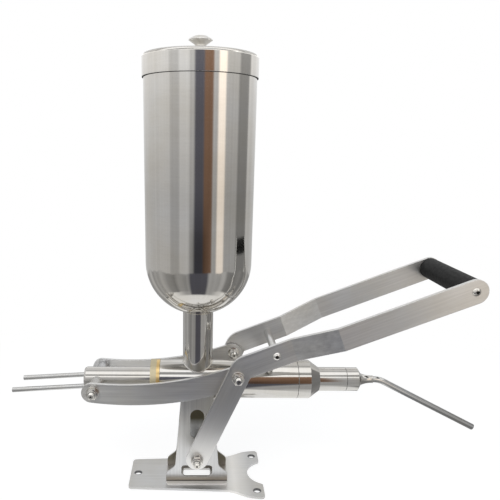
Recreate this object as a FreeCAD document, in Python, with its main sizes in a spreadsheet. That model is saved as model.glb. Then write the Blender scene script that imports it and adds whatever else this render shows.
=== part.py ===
import FreeCAD, Part
import Sketcher
import os
from math import atan, cos, hypot, radians, sin, tan
from FreeCAD import Placement, Rotation, Vector

# Manual donut filler: hopper over a horizontal pump barrel, a plunger pulled in by two curved links,
# and a bent two-arm lever on a bracket and base plate.
# Millimetres, +Z up. The origin is on the underside of the base plate, midway between the two ear
# bolt holes. The barrel runs along X, with the outlet towards +X, and Y is the width.

doc = FreeCAD.newDocument("DonutFiller")
sheet = doc.addObject("Spreadsheet::Sheet", "Sizes")

SIZES = {
    # base plate, with stations counted from the hopper axis
    "ear_station": 79.5, "ear_hole_spacing": 84.4, "ear_half_width": 57.5, "ear_shoulder_station": 68.0,
    "ear_shoulder_half": 54.5, "plate_right": 88.7, "plate_left": 90.5, "plate_left_half": 34.0,
    "plate_waist_station": 44.0, "plate_waist_half": 41.0, "plate_thickness": 3.0, "plate_corner": 5.0,
    "plate_sweep": 28.0, "mount_hole": 9.0, "left_hole_station": 80.5, "notch_radius": 29.0,
    "notch_station": 69.7, "drain_length": 37.0, "drain_width": 23.0, "drain_corner": 3.0,
    # bracket
    "bracket_half_width": 21.0, "bracket_sheet": 3.0, "upright_top_half": 19.3, "upright_low_half": 29.0,
    "flare_height": 25.4, "foot_half": 41.0, "foot_height": 15.6, "flange_depth": 8.0, "flange_sheet": 1.3,
    "flange_corner": 5.0, "flare_round": 8.0, "foot_round": 6.0,
    "slot_width": 18.5, "slot_low": 66.0, "slot_high": 108.2,
    "window_half": 20.6, "window_low": 10.5, "window_high": 27.0, "window_bevel": 4.2, "window_round": 4.0,
    # barrel line: stations along the barrel, counted from the hopper axis
    "axis_height": 143.0, "barrel_radius": 25.4, "barrel_bore": 23.0, "barrel_left": 49.1,
    "barrel_right": 130.4, "barrel_edge": 0.4, "cap_length": 16.1, "cone_length": 13.2,
    "housing_radius": 15.7, "housing_bore": 13.2, "housing_right": 195.6, "cap_bore": 19.5,
    "spigot_length": 12.0, "spigot_clearance": 0.05, "end_cap_length": 15.7, "end_cap_radius": 15.5,
    "end_cap_taper": 4.5, "end_cap_wall": 3.0, "adapter_radius": 8.2, "adapter_length": 17.2,
    "adapter_tip_radius": 5.0, "adapter_flute": 36.0, "adapter_thread_radius": 7.0,
    "nozzle_radius": 4.15, "nozzle_bore": 3.4, "nozzle_run": 0.4, "nozzle_bend_radius": 33.4,
    "nozzle_drop": 27.3, "nozzle_length": 143.8, "seal_section": 1.4,
    "ball_radius": 9.0, "cage_radius": 12.9, "cage_slot": 7.0, "cage_gap": 0.3, "ball_seat_gap": 0.55,
    "ball_travel": 4.0, "ball_seat_radius": 7.5,
    "gland_left": 61.0, "gland_step": 53.2, "gland_radius": 25.7, "gland_collar_radius": 25.5,
    "gland_nose": 42.0, "gland_bore": 17.6,
    # plunger
    "plunger_radius": 15.2, "plunger_bore": 13.6, "plunger_left": 147.1, "plunger_chamfer": 2.4,
    "running_clearance": 0.05, "head_station": 11.0, "head_length": 20.0, "head_bore": 5.0,
    "head_seal_inset": 5.0, "head_seal_section": 1.5, "holder_length": 10.0,
    "needle_radius": 3.2, "needle_bore": 2.4, "needle_droop": 3.5, "needle_side": 4.0, "needle_rise": 6.4,
    "needle_drop_offset": 2.9, "upper_needle_reach": 81.5, "lower_needle_reach": 95.0,
    "needle_root": 9.0, "bolt_station": 130.0,
    # neck, hopper and lid
    "neck_radius": 19.3, "neck_bore": 17.3, "hopper_radius": 65.9, "hopper_wall": 1.5,
    "hopper_bowl_height": 300.5, "rim_height": 539.0, "lid_radius": 67.4, "lid_wall": 1.2,
    "lid_skirt": 23.4, "lid_round": 4.0, "knob_stem_radius": 5.0, "knob_base_radius": 6.9,
    "knob_base_height": 11.5, "knob_rim_radius": 13.9, "knob_rim_height": 16.3, "knob_height": 20.6,
    "knob_crown_radius": 7.0, "knob_tap_depth": 9.0, "knob_flute_radius": 3.2, "knob_flutes": 8.0,
    # lever
    "pivot_height": 52.2, "crank_length": 123.2, "leg_lean": 23.7, "leg_length": 136.2, "leg_width": 28.0,
    "handle_angle": 21.4, "handle_length": 286.3, "handle_width": 29.2, "lever_sheet": 4.8,
    "lever_inner": 44.6, "grip_inner": 65.0, "joggle_start": 68.0, "joggle_end": 123.5,
    "knee_round": 26.0, "knee_inner_round": 2.0, "grip_radius": 14.0, "grip_core_radius": 8.0,
    "tie_station": 44.6, "tie_radius": 5.0, "screw_radius": 3.0, "screw_head_radius": 5.25,
    "screw_head_height": 3.3, "screw_length": 16.0, "screw_socket_radius": 2.0,
    # links and pivots
    "link_inner": 40.0, "link_sheet": 4.0, "link_left_radius": 12.8, "link_left_outset": 1.8,
    "link_left_fall": 1.2, "link_right_radius": 14.4, "link_right_inset": 2.4, "link_right_rise": -2.1,
    "link_curve_radius": 390.0,
    "link_slot_rise": 1.1, "link_slot_fall": 4.35, "link_slot_fore": 0.25, "link_slot_back": 1.95,
    "link_slot_clearance": 0.7,
    "bolt_radius": 4.0, "pivot_clearance": 0.05, "nut_flats": 13.0, "nut_height": 6.5,
    "nut_collar_radius": 5.6, "nut_collar_height": 1.5, "washer_radius": 8.0, "washer_sheet": 1.6,
    "side_clearance": 0.3, "bolt_head_height": 5.3, "thread_stand_out": 4.8, "lower_stand_out": 6.0,
    "sleeve_radius": 8.0, "centre_mark_radius": 1.2, "centre_mark_depth": 1.5,
}

for row, (alias, value) in enumerate(SIZES.items(), start=1):
    sheet.set(f"A{row}", alias)
    sheet.set(f"B{row}", str(value))
    sheet.setAlias(f"B{row}", alias)
doc.recompute()

NODES = {}


# ---------------------------------------------------------------- helpers

def named(expression):
    """Put the sheet's name in front of each size name, so that expressions stay short to read."""
    words = []
    word = ""
    for letter in expression + " ":
        if letter.isalnum() or letter == "_":
            word += letter
        else:
            words.append(f"Sizes.{word}" if word in SIZES else word)
            words.append(letter)
            word = ""
    return "".join(words).strip()


def value_of(expression):
    """The number that an expression of size names gives now."""
    number = sheet.evalExpression(named(expression))
    return float(getattr(number, "Value", number))


def bind(obj, **expressions):
    """Bind properties to expressions of size names; a double underscore stands for a dot."""
    for path, expression in expressions.items():
        obj.setExpression(path.replace("__", "."), named(expression))


def place(obj, x="-ear_station", y="0", z="0", axis=None, angle=None):
    """Give a sub-part its place; x defaults to the hopper axis."""
    if axis is not None:
        obj.Placement = Placement(Vector(), Rotation(Vector(*axis), value_of(angle)))
        obj.setExpression("Placement.Rotation.Angle", f"({named(angle)}) * 1 deg")
    bind(obj, Placement__Base__x=x, Placement__Base__y=y, Placement__Base__z=z)
    return obj


def node(name, obj):
    """Register a finished sub-part under its node name."""
    obj.Label = name
    NODES[name] = obj
    return obj


def origin_plane(body, role):
    return next(f for f in body.Origin.OriginFeatures if f.Role == role)


def new_sketch(body, role, label="Profile"):
    sketch = body.newObject("Sketcher::SketchObject", label)
    sketch.AttachmentSupport = [(origin_plane(body, role), "")]
    sketch.MapMode = "FlatFace"
    return sketch


def pin_point(sketch, geometry, point, x, y):
    """Hold one sketch point at x, y from the sketch origin."""
    for kind, expression in (("DistanceX", x), ("DistanceY", y)):
        index = sketch.addConstraint(Sketcher.Constraint(kind, -1, 1, geometry, point, value_of(expression)))
        sketch.setExpression(f"Constraints[{index}]", named(expression))


def outline(sketch, points, arcs=None):
    """Closed outline through points given as size expressions.

    arcs maps the number of a segment to the expression of its radius; a positive radius bulges to
    the left of the direction of travel and a negative one to the right."""
    arcs = arcs or {}
    spots = [Vector(value_of(x), value_of(y), 0) for x, y in points]
    ends = []
    for i, start in enumerate(spots):
        stop = spots[(i + 1) % len(spots)]
        if i in arcs:
            radius = value_of(arcs[i])
            chord = stop - start
            half = chord.Length / 2
            left = Vector(-chord.y, chord.x, 0).normalize()
            rise = abs(radius) - (radius ** 2 - half ** 2) ** 0.5
            middle = (start + stop) / 2 + left * (rise if radius > 0 else -rise)
            geometry = sketch.addGeometry(Part.Arc(start, middle, stop), False)
            first, last = (1, 2) if sketch.getPoint(geometry, 1).isEqual(start, 1e-6) else (2, 1)
            index = sketch.addConstraint(Sketcher.Constraint("Radius", geometry, abs(radius)))
            sketch.setExpression(f"Constraints[{index}]", named(f"abs({arcs[i]})"))
        else:
            geometry = sketch.addGeometry(Part.LineSegment(start, stop), False)
            first, last = 1, 2
        ends.append((geometry, first, last))
    for i, (geometry, first, last) in enumerate(ends):
        following, following_first, _ = ends[(i + 1) % len(ends)]
        sketch.addConstraint(Sketcher.Constraint("Coincident", geometry, last, following, following_first))
    for (geometry, first, _), (x, y) in zip(ends, points):
        pin_point(sketch, geometry, first, x, y)


def circle(sketch, x, y, radius):
    spot = Vector(value_of(x), value_of(y), 0)
    geometry = sketch.addGeometry(Part.Circle(spot, Vector(0, 0, 1), value_of(radius)), False)
    pin_point(sketch, geometry, 3, x, y)
    index = sketch.addConstraint(Sketcher.Constraint("Radius", geometry, value_of(radius)))
    sketch.setExpression(f"Constraints[{index}]", named(radius))


def obround(sketch, first, second, radius):
    """A slot outline: half circles about two places, joined by tangent lines."""
    a, b = (Vector(value_of(x), value_of(y), 0) for x, y in (first, second))
    along = (b - a).normalize()
    side = Vector(-along.y, along.x, 0) * value_of(radius)
    bulge = along * value_of(radius)
    curves = [Part.Arc(b - side, b + bulge, b + side), Part.LineSegment(b + side, a + side),
              Part.Arc(a + side, a - bulge, a - side), Part.LineSegment(a - side, b - side)]
    spots = [b - side, b + side, a + side, a - side]
    made = [sketch.addGeometry(curve, False) for curve in curves]
    for n in range(4):
        spot = spots[(n + 1) % 4]
        pair = (made[n], made[(n + 1) % 4])
        ends = [1 if sketch.getPoint(g, 1).isEqual(spot, 1e-5) else 2 for g in pair]
        sketch.addConstraint(Sketcher.Constraint("Tangent", pair[0], ends[0], pair[1], ends[1]))
    pin_point(sketch, made[0], 3, *second)
    pin_point(sketch, made[2], 3, *first)
    index = sketch.addConstraint(Sketcher.Constraint("Radius", made[0], value_of(radius)))
    sketch.setExpression(f"Constraints[{index}]", named(radius))


def feature(body, kind, label, sketch, **expressions):
    made = body.newObject(f"PartDesign::{kind}", label)
    made.Profile = sketch
    bind(made, **expressions)
    sketch.Visibility = False
    body.Tip = made
    return made


def new_body(name):
    return node(name, doc.addObject("PartDesign::Body", name.title().replace("_", "")))


def turned(name, points, arcs=None, axis="H_Axis", z="axis_height", x="-ear_station"):
    """A turned piece: outline in station and radius about the barrel axis, or, about the vertical
    axis, in radius and height."""
    body = new_body(name)
    sketch = new_sketch(body, "XZ_Plane")
    outline(sketch, points, arcs)
    turn = feature(body, "Revolution", "Turn", sketch)
    turn.ReferenceAxis = (sketch, [axis])
    turn.Angle = 360
    place(body, x=x, z=z)
    return body


def pad(body, role, points, length, arcs=None, reverse=False, midplane=False, label="Pad"):
    sketch = new_sketch(body, role)
    outline(sketch, points, arcs)
    made = feature(body, "Pad", label, sketch, Length=length)
    made.Reversed = reverse
    made.Midplane = midplane
    return made


def cut_through(body, sketch, label="Cut"):
    """Cut a sketch right through a body, both ways, and make sure that it removes something."""
    doc.recompute()
    before = body.Shape.Volume
    made = feature(body, "Pocket", label, sketch)
    made.Type = "ThroughAll"
    made.Midplane = True
    doc.recompute()
    if body.Shape.Volume >= before - 1e-6:
        raise RuntimeError(f"{body.Label}: {label} removes nothing")
    return made


def corners(body, spots, radius, across, label="Round"):
    """Round the edges that run across a plate at the given places in its own frame."""
    doc.recompute()
    base = body.Tip
    names = []
    for number, edge in enumerate(base.Shape.Edges, start=1):
        if edge.Length < 0.5 or len(edge.Vertexes) != 2:
            continue
        along = edge.Vertexes[1].Point - edge.Vertexes[0].Point
        if abs(getattr(along, across)) < edge.Length - 1e-4:
            continue
        middle = (edge.Vertexes[0].Point + edge.Vertexes[1].Point) / 2
        u, v = {"z": (middle.x, middle.y), "y": (middle.x, middle.z)}[across]
        if any(hypot(u - value_of(a), v - value_of(b)) < 0.05 for a, b in spots):
            names.append(f"Edge{number}")
    if len(names) < len(spots):
        raise RuntimeError(f"{body.Label}: {label} finds {len(names)} of {len(spots)} corners")
    made = body.newObject("PartDesign::Fillet", label)
    made.Base = (base, names)
    bind(made, Radius=radius)
    body.Tip = made
    return made


AXES = {"x": ((0, 1, 0), "90"), "y": ((1, 0, 0), "-90"), "-y": ((1, 0, 0), "90"), "z": (None, None)}


def rod(label, radius, length, x="-ear_station", y="0", z="0", along="z"):
    """A plain cylinder that starts at a place and runs along an axis."""
    made = doc.addObject("Part::Cylinder", label)
    bind(made, Radius=radius, Height=length)
    axis, angle = AXES[along]
    return place(made, x, y, z, axis, angle)


def hexagon(label, flats, height, x, y, z, along):
    """A hexagonal prism that starts at a place and runs along an axis."""
    made = doc.addObject("Part::Prism", label)
    made.Polygon = 6
    bind(made, Circumradius=f"{flats} / 2 / cos(30)", Height=height)
    axis, angle = AXES[along]
    return place(made, x, y, z, axis, angle)


def cut(label, base, *tools):
    tool = tools[0] if len(tools) == 1 else fuse(label + "Tools", *tools)
    made = doc.addObject("Part::Cut", label)
    made.Base = base
    made.Tool = tool
    return made


def fuse(label, *shapes):
    made = doc.addObject("Part::MultiFuse", label)
    made.Shapes = list(shapes)
    return made


def group(label, *shapes):
    made = doc.addObject("Part::Compound", label)
    made.Links = list(shapes)
    return made


def seal_ring(label, radius, section, station):
    """A square-section seal ring about the barrel axis, centred on a station; radius is its outside."""
    x = f"{station} - {section} - ear_station"
    wall = rod(label + "Wall", radius, f"2 * {section}", x=x, z="axis_height", along="x")
    bore = rod(label + "Bore", f"{radius} - 2 * {section}", f"2 * {section}", x=x, z="axis_height", along="x")
    return cut(label, wall, bore)


# ---------------------------------------------------------------- base plate and bracket

def base_plate():
    body = new_body("base_plate")
    half = [("-plate_left", "plate_left_half"), ("plate_waist_station", "plate_waist_half"),
            ("ear_shoulder_station", "ear_shoulder_half"), ("plate_right", "ear_half_width")]
    mirrored = [(x, f"-({y})") for x, y in half]
    pad(body, "XY_Plane", mirrored + half[::-1], "plate_thickness")
    corners(body, [half[0], mirrored[0], half[3], mirrored[3]], "plate_corner", "z", "CornerRound")
    corners(body, [half[1], mirrored[1], half[2], mirrored[2]], "plate_sweep", "z", "EarSweep")
    notch = new_sketch(body, "XY_Plane", "Notch")
    circle(notch, "notch_station + notch_radius", "0", "notch_radius")
    cut_through(body, notch, "NotchCut")
    tip = "sqrt(notch_radius ^ 2 - (notch_station + notch_radius - plate_right) ^ 2)"
    corners(body, [("plate_right", tip), ("plate_right", f"-{tip}")], "plate_corner - 1", "z", "TipRound")
    holes = new_sketch(body, "XY_Plane", "Holes")
    circle(holes, "ear_station", "ear_hole_spacing / 2", "mount_hole / 2")
    circle(holes, "ear_station", "-ear_hole_spacing / 2", "mount_hole / 2")
    circle(holes, "-left_hole_station", "0", "mount_hole / 2")
    cut_through(body, holes, "HoleCut")
    drain = new_sketch(body, "XY_Plane", "Drain")
    spots = [("-drain_length / 2", "-drain_width / 2"), ("drain_length / 2", "-drain_width / 2"),
             ("drain_length / 2", "drain_width / 2"), ("-drain_length / 2", "drain_width / 2")]
    outline(drain, spots)
    cut_through(body, drain, "DrainCut")
    corners(body, spots, "drain_corner", "z", "DrainRound")
    place(body)


def bracket_plate(name, side):
    """One upright with its outward flange; side is -1 at the front and +1 at the rear."""
    body = new_body(name)
    top = "axis_height - plate_thickness"
    half = [("foot_half", "0"), ("foot_half", "foot_height - plate_thickness"),
            ("upright_low_half", "flare_height - plate_thickness"), ("upright_top_half", top)]
    mirrored = [(f"-{x}", y) for x, y in half]
    upright = pad(body, "XZ_Plane", half + mirrored[::-1], "bracket_sheet", reverse=side > 0, label="Upright")
    inner = "bracket_half_width - bracket_sheet"
    upright.Profile[0].setExpression("AttachmentOffset.Base.z", named(f"{-side} * ({inner})"))
    corners(body, [half[2], mirrored[2]], "flare_round", "y", "FlareRound")
    corners(body, [half[1], mirrored[1]], "foot_round", "y", "FootRound")
    near, far = f"{side} * ({inner})", f"{side} * (bracket_half_width + flange_depth)"
    flange = [("-foot_half", near), ("foot_half", near), ("foot_half", far), ("-foot_half", far)]
    pad(body, "XY_Plane", flange, "flange_sheet", label="Flange")
    corners(body, flange[2:], "flange_corner", "z", "FlangeRound")
    holes = new_sketch(body, "XZ_Plane", "PivotHole")
    circle(holes, "0", "pivot_height - plate_thickness", "bolt_radius + pivot_clearance")
    cut_through(body, holes, "PivotHoleCut")
    window = new_sketch(body, "XZ_Plane", "Window")
    low, high = "window_low - plate_thickness", "window_high - plate_thickness"
    ledge = "window_half - window_bevel"
    spots = [(f"-({ledge})", low), (ledge, low), ("window_half", f"{low} + window_bevel"),
             ("window_half", high), ("-window_half", high), ("-window_half", f"{low} + window_bevel")]
    outline(window, spots)
    cut_through(body, window, "WindowCut")
    corners(body, spots[3:5], "window_round", "y", "WindowRound")
    if side < 0:
        slot = new_sketch(body, "XZ_Plane", "Slot")
        obround(slot, ("0", "slot_low + slot_width / 2 - plate_thickness"),
                ("0", "slot_high - slot_width / 2 - plate_thickness"), "slot_width / 2")
        cut_through(body, slot, "SlotCut")
    saddle = new_sketch(body, "YZ_Plane", "Saddle")
    circle(saddle, "0", top, "barrel_radius")
    cut_through(body, saddle, "SaddleCut")
    place(body, z="plate_thickness")


# ---------------------------------------------------------------- hopper, neck and lid

def hopper():
    outer = fuse("HopperOuter",
                 rod("HopperOuterWall", "hopper_radius", "rim_height - hopper_bowl_height",
                     z="hopper_bowl_height"),
                 ball("HopperOuterBowl", "hopper_radius", "0", "hopper_bowl_height"))
    inner = fuse("HopperInner",
                 rod("HopperInnerWall", "hopper_radius - hopper_wall", "rim_height",
                     z="hopper_bowl_height"),
                 ball("HopperInnerBowl", "hopper_radius - hopper_wall", "0", "hopper_bowl_height"))
    shell = cut("HopperShell", outer, inner)
    node("hopper", cut("HopperDrained", shell, rod("HopperDrain", "neck_bore", "hopper_bowl_height")))


def ball(label, radius, station, z):
    made = doc.addObject("Part::Sphere", label)
    bind(made, Radius=radius)
    return place(made, x=f"{station} - ear_station", z=z)


def neck():
    wall = rod("NeckWall", "neck_radius", "hopper_bowl_height - axis_height", z="axis_height")
    bore = rod("NeckBore", "neck_bore", "hopper_bowl_height - axis_height", z="axis_height")
    saddle = rod("NeckSaddle", "barrel_radius", "8 * neck_radius", x="-ear_station - 4 * neck_radius",
                 z="axis_height", along="x")
    node("neck", cut("NeckTube", wall, bore, saddle, ball("NeckBowl", "hopper_radius", "0",
                                                         "hopper_bowl_height")))


LID_FLOOR = "(rim_height + side_clearance)"
LID_TOP = "(rim_height + side_clearance + lid_wall)"


def lid():
    """Slip-on lid with a deep skirt, and a hole for the knob's screw."""
    turned("lid", [("screw_radius + 0.1", LID_FLOOR), ("lid_radius - lid_wall", LID_FLOOR),
                   ("lid_radius - lid_wall", f"{LID_FLOOR} - lid_skirt"),
                   ("lid_radius", f"{LID_FLOOR} - lid_skirt"), ("lid_radius", f"{LID_TOP} - lid_round"),
                   ("lid_radius - lid_round", LID_TOP), ("screw_radius + 0.1", LID_TOP)],
           {4: "-lid_round"}, axis="V_Axis", z="0")


def lid_knob():
    """Fluted double-cone knob on a short stem, tapped from below."""
    tap = "screw_radius + 0.02"
    body = turned("lid_knob", [(tap, LID_TOP), ("knob_stem_radius", LID_TOP),
                               ("knob_stem_radius", f"{LID_TOP} + knob_base_height - 3"),
                               ("knob_base_radius", f"{LID_TOP} + knob_base_height"),
                               ("knob_rim_radius", f"{LID_TOP} + knob_rim_height"),
                               ("knob_rim_radius - 1", f"{LID_TOP} + knob_rim_height + 1.2"),
                               ("knob_crown_radius", f"{LID_TOP} + knob_height"),
                               ("0", f"{LID_TOP} + knob_height"), ("0", f"{LID_TOP} + knob_tap_depth"),
                               (tap, f"{LID_TOP} + knob_tap_depth")], axis="V_Axis", z="0")
    flute = new_sketch(body, "XY_Plane", "Flute")
    circle(flute, "knob_rim_radius + knob_flute_radius * 0.55", "0", "knob_flute_radius")
    doc.recompute()
    before = body.Shape.Volume
    groove = feature(body, "Pocket", "FluteCut", flute, Length=f"{LID_TOP} + knob_rim_height")
    groove.Reversed = True
    doc.recompute()
    if body.Shape.Volume >= before:
        raise RuntimeError("lid_knob: the flute removes nothing")
    pattern = body.newObject("PartDesign::PolarPattern", "Flutes")
    pattern.Originals = [groove]
    pattern.Axis = (flute, ["N_Axis"])
    pattern.Angle = 360
    bind(pattern, Occurrences="knob_flutes")
    body.Tip = pattern


def knob_screw():
    """Pan-head screw up through the lid into the knob."""
    head = rod("KnobScrewHead", "screw_head_radius", "screw_head_height",
               z=f"{LID_FLOOR} - screw_head_height")
    shank = rod("KnobScrewShank", "screw_radius", "lid_wall + knob_tap_depth - 1", z=LID_FLOOR)
    node("knob_screw", fuse("KnobScrew", head, shank))


# ---------------------------------------------------------------- barrel line

def barrel():
    length = "barrel_left + barrel_right"
    outer = rod("BarrelOuter", "barrel_radius", length, x="-ear_station - barrel_left",
                z="axis_height", along="x")
    edge = doc.addObject("Part::Chamfer", "BarrelEdges")
    edge.Base = outer
    doc.recompute()
    amount = value_of("barrel_edge")
    edge.Edges = [(number, amount, amount) for number, e in enumerate(outer.Shape.Edges, start=1)
                  if len(e.Vertexes) == 1]
    bore = rod("BarrelBore", "barrel_bore", length, x="-ear_station - barrel_left",
               z="axis_height", along="x")
    port = rod("BarrelPort", "neck_bore", "2 * barrel_radius", z="axis_height")
    node("barrel", cut("BarrelTube", edge, bore, port))


def gland():
    turned("gland_ring", [("-gland_left", "gland_bore"), ("-gland_nose", "gland_bore"),
                          ("-gland_nose", "barrel_bore - spigot_clearance"),
                          ("-barrel_left", "barrel_bore - spigot_clearance"),
                          ("-barrel_left", "gland_collar_radius"), ("-gland_step", "gland_collar_radius"),
                          ("-gland_step", "gland_radius"), ("-gland_left", "gland_radius")])
    running = "plunger_radius + running_clearance"
    turned("gland_bush", [("-gland_left", running), ("-gland_nose", running),
                          ("-gland_nose", "gland_bore"), ("-gland_left", "gland_bore")])


CAP_RIGHT = "(barrel_right + cap_length)"
CONE_RIGHT = "(barrel_right + cap_length + cone_length)"
SPIGOT = "(barrel_bore - spigot_clearance)"


def outlet_reducer():
    groove_left = "barrel_right - spigot_length / 2 - seal_section"
    groove_right = "barrel_right - spigot_length / 2 + seal_section"
    floor = f"{SPIGOT} - 2 * seal_section"
    turned("outlet_reducer",
           [("barrel_right - spigot_length", "cap_bore"), ("barrel_right - spigot_length", SPIGOT),
            (groove_left, SPIGOT), (groove_left, floor), (groove_right, floor), (groove_right, SPIGOT),
            ("barrel_right", SPIGOT), ("barrel_right", "barrel_radius - barrel_edge"),
            ("barrel_right + barrel_edge", "barrel_radius"), (CAP_RIGHT, "barrel_radius"),
            (CONE_RIGHT, "housing_radius"), ("housing_right - barrel_edge", "housing_radius"),
            ("housing_right", "housing_radius - barrel_edge"), ("housing_right", "housing_bore"),
            (f"{CONE_RIGHT} - 1", "housing_bore"), (f"{CONE_RIGHT} - 1", "ball_seat_radius"),
            (f"{CAP_RIGHT} + 1", "ball_seat_radius"), (f"{CAP_RIGHT} - 6", "cap_bore")])
    node("outlet_seal", seal_ring("OutletSeal", SPIGOT, "seal_section", "barrel_right - spigot_length / 2"))


CAGE_LENGTH = "(2 * sqrt(ball_radius ^ 2 - ball_seat_radius ^ 2) + ball_travel + 2 * ball_seat_gap)"
BALL_STATION = f"({CONE_RIGHT} - 1 + sqrt(ball_radius ^ 2 - ball_seat_radius ^ 2) + ball_seat_gap)"


def check_valve():
    """Ball seated on the housing's shoulder, held on line by a slotted cage."""
    node("valve_ball", ball("ValveBall", "ball_radius", BALL_STATION, "axis_height"))
    left = f"{CONE_RIGHT} - 1"
    cage_bore = "ball_radius + cage_gap"
    body = turned("valve_cage", [(left, cage_bore), (f"{left} + {CAGE_LENGTH}", cage_bore),
                                 (f"{left} + {CAGE_LENGTH}", "cage_radius"), (left, "cage_radius")])
    slot = new_sketch(body, "XY_Plane", "CageSlot")
    start, stop = f"{left} + 2", f"{left} + {CAGE_LENGTH} - 3"
    outline(slot, [(start, "-cage_slot / 2"), (stop, "-cage_slot / 2"),
                   (stop, "cage_slot / 2"), (start, "cage_slot / 2")])
    cut_through(body, slot, "CageSlotCut")
    cross = new_sketch(body, "XZ_Plane", "CageCrossSlot")
    outline(cross, [(start, "-cage_slot / 2"), (stop, "-cage_slot / 2"),
                    (stop, "cage_slot / 2"), (start, "cage_slot / 2")])
    cut_through(body, cross, "CageCrossSlotCut")


END_RIGHT = "(housing_right + end_cap_length)"
FACE_RIGHT = "(housing_right + end_cap_length + end_cap_taper)"


def end_cap():
    spigot = "housing_bore - spigot_clearance"
    left = f"({CONE_RIGHT} - 1 + {CAGE_LENGTH})"
    turned("end_cap",
           [(left, "ball_seat_radius"), (left, spigot), ("housing_right", spigot),
            ("housing_right", "end_cap_radius - barrel_edge"),
            ("housing_right + barrel_edge", "end_cap_radius"), (END_RIGHT, "end_cap_radius"),
            (FACE_RIGHT, "adapter_radius + 0.3"), (FACE_RIGHT, "adapter_thread_radius"),
            (f"{END_RIGHT} - end_cap_wall", "adapter_thread_radius"),
            (f"{END_RIGHT} - end_cap_wall", "ball_seat_radius")])


def nozzle():
    tip = f"{FACE_RIGHT} + adapter_length"
    turned("nozzle_adapter",
           [(f"{END_RIGHT} - end_cap_wall", "nozzle_radius"), (f"{END_RIGHT} - end_cap_wall",
            "adapter_thread_radius - 0.02"), (FACE_RIGHT, "adapter_thread_radius - 0.02"),
            (FACE_RIGHT, "adapter_radius"), (tip, "adapter_tip_radius"), (tip, "nozzle_radius")],
           {3: "-adapter_flute"})
    outer = nozzle_solid("NozzleOuter", "nozzle_radius - 0.02", "0")
    inner = nozzle_solid("NozzleInner", "nozzle_bore", "1")
    node("bent_nozzle", cut("NozzleTube", outer, inner))


def nozzle_solid(label, radius, overrun):
    """Straight run, elbow and long straight run of the bent nozzle."""
    start = f"{END_RIGHT} - end_cap_wall - {overrun}"
    elbow_station = f"({FACE_RIGHT} + adapter_length + nozzle_run)"
    first = rod(label + "Run", radius, f"{elbow_station} - ({start})", x=f"{start} - ear_station",
                z="axis_height", along="x")
    elbow = doc.addObject("Part::Torus", label + "Elbow")
    bind(elbow, Radius1="nozzle_bend_radius", Radius2=radius, Angle3="nozzle_drop")
    place_turned_elbow(elbow, elbow_station)
    reach = doc.addObject("Part::Cylinder", label + "Reach")
    bind(reach, Radius=radius, Height=f"nozzle_length + {overrun}")
    place(reach, x=f"{elbow_station} + nozzle_bend_radius * sin(nozzle_drop) - ear_station",
          z="axis_height - nozzle_bend_radius * (1 - cos(nozzle_drop))",
          axis=(0, 1, 0), angle="90 + nozzle_drop")
    return fuse(label, first, elbow, reach)


def place_turned_elbow(elbow, station):
    """The elbow's ring stands in the XZ plane, centred below the end of the first run."""
    turn = Rotation(Vector(1, 0, 0), -90).multiply(Rotation(Vector(0, 0, 1), -90))
    elbow.Placement = Placement(Vector(), turn)
    bind(elbow, Placement__Base__x=f"{station} - ear_station", Placement__Base__z="axis_height - nozzle_bend_radius")


# ---------------------------------------------------------------- plunger

def plunger():
    tube = turned("plunger_tube",
                  [("-plunger_left", "plunger_bore"), ("-plunger_left", "plunger_radius - plunger_chamfer * 0.6"),
                   ("-plunger_left + plunger_chamfer", "plunger_radius"),
                   ("head_station", "plunger_radius"), ("head_station", "plunger_bore")])
    hole = new_sketch(tube, "XZ_Plane", "CrossHole")
    circle(hole, "-bolt_station", "0", "bolt_radius + pivot_clearance")
    cut_through(tube, hole, "CrossHoleCut")
    seal_depth = "2 * head_seal_section"
    rim = "barrel_bore - running_clearance"
    points = [("head_station - 6", "head_bore"), ("head_station - 6", "plunger_bore - 0.02"),
              ("head_station", "plunger_bore - 0.02"), ("head_station", rim)]
    for station in ("head_seal_inset", "head_length - head_seal_inset"):
        left = f"head_station + {station} - head_seal_section"
        right = f"head_station + {station} + head_seal_section"
        points += [(left, rim), (left, f"{rim} - {seal_depth}"), (right, f"{rim} - {seal_depth}"), (right, rim)]
    points += [("head_station + head_length", rim), ("head_station + head_length", "head_bore")]
    turned("piston_head", points)
    rings = [seal_ring(f"PistonSeal{n}", f"({rim})", "head_seal_section", f"head_station + {station}")
             for n, station in enumerate(("head_seal_inset", "head_length - head_seal_inset"), start=1)]
    node("piston_seals", group("PistonSeals", *rings))


NEEDLES = {"needle_upper": (1, "upper_needle_reach"), "needle_lower": (-1, "lower_needle_reach")}


def needle_rod(label, side, radius, reach, root):
    """One needle line: it starts inside the holder and leans down a little on its way out."""
    made = doc.addObject("Part::Cylinder", label)
    bind(made, Radius=radius, Height=f"{reach} + {root}")
    return place(made, x=f"-plunger_left + {root} * cos(needle_droop) - ear_station",
                 y=f"{side} * needle_side",
                 z=f"axis_height - needle_drop_offset + {side} * needle_rise + {root} * sin(needle_droop)",
                 axis=(0, -1, 0), angle="90 + needle_droop")


def needles():
    blank = rod("HolderBlank", "plunger_bore - 0.02", "holder_length", x="-plunger_left - ear_station",
                z="axis_height", along="x")
    tools = []
    for name, (side, reach) in NEEDLES.items():
        title = name.title().replace("_", "")
        tools.append(needle_rod(title + "Seat", side, "needle_radius", reach, "2 * holder_length"))
        outer = needle_rod(title + "Outer", side, "needle_radius - 0.02", reach, "needle_root")
        inner = needle_rod(title + "Inner", side, "needle_bore", f"{reach} + 1", "needle_root + 1")
        node(name, cut(title + "Tube", outer, inner))
    node("needle_holder", cut("NeedleHolder", blank, *tools))


# ---------------------------------------------------------------- links

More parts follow.
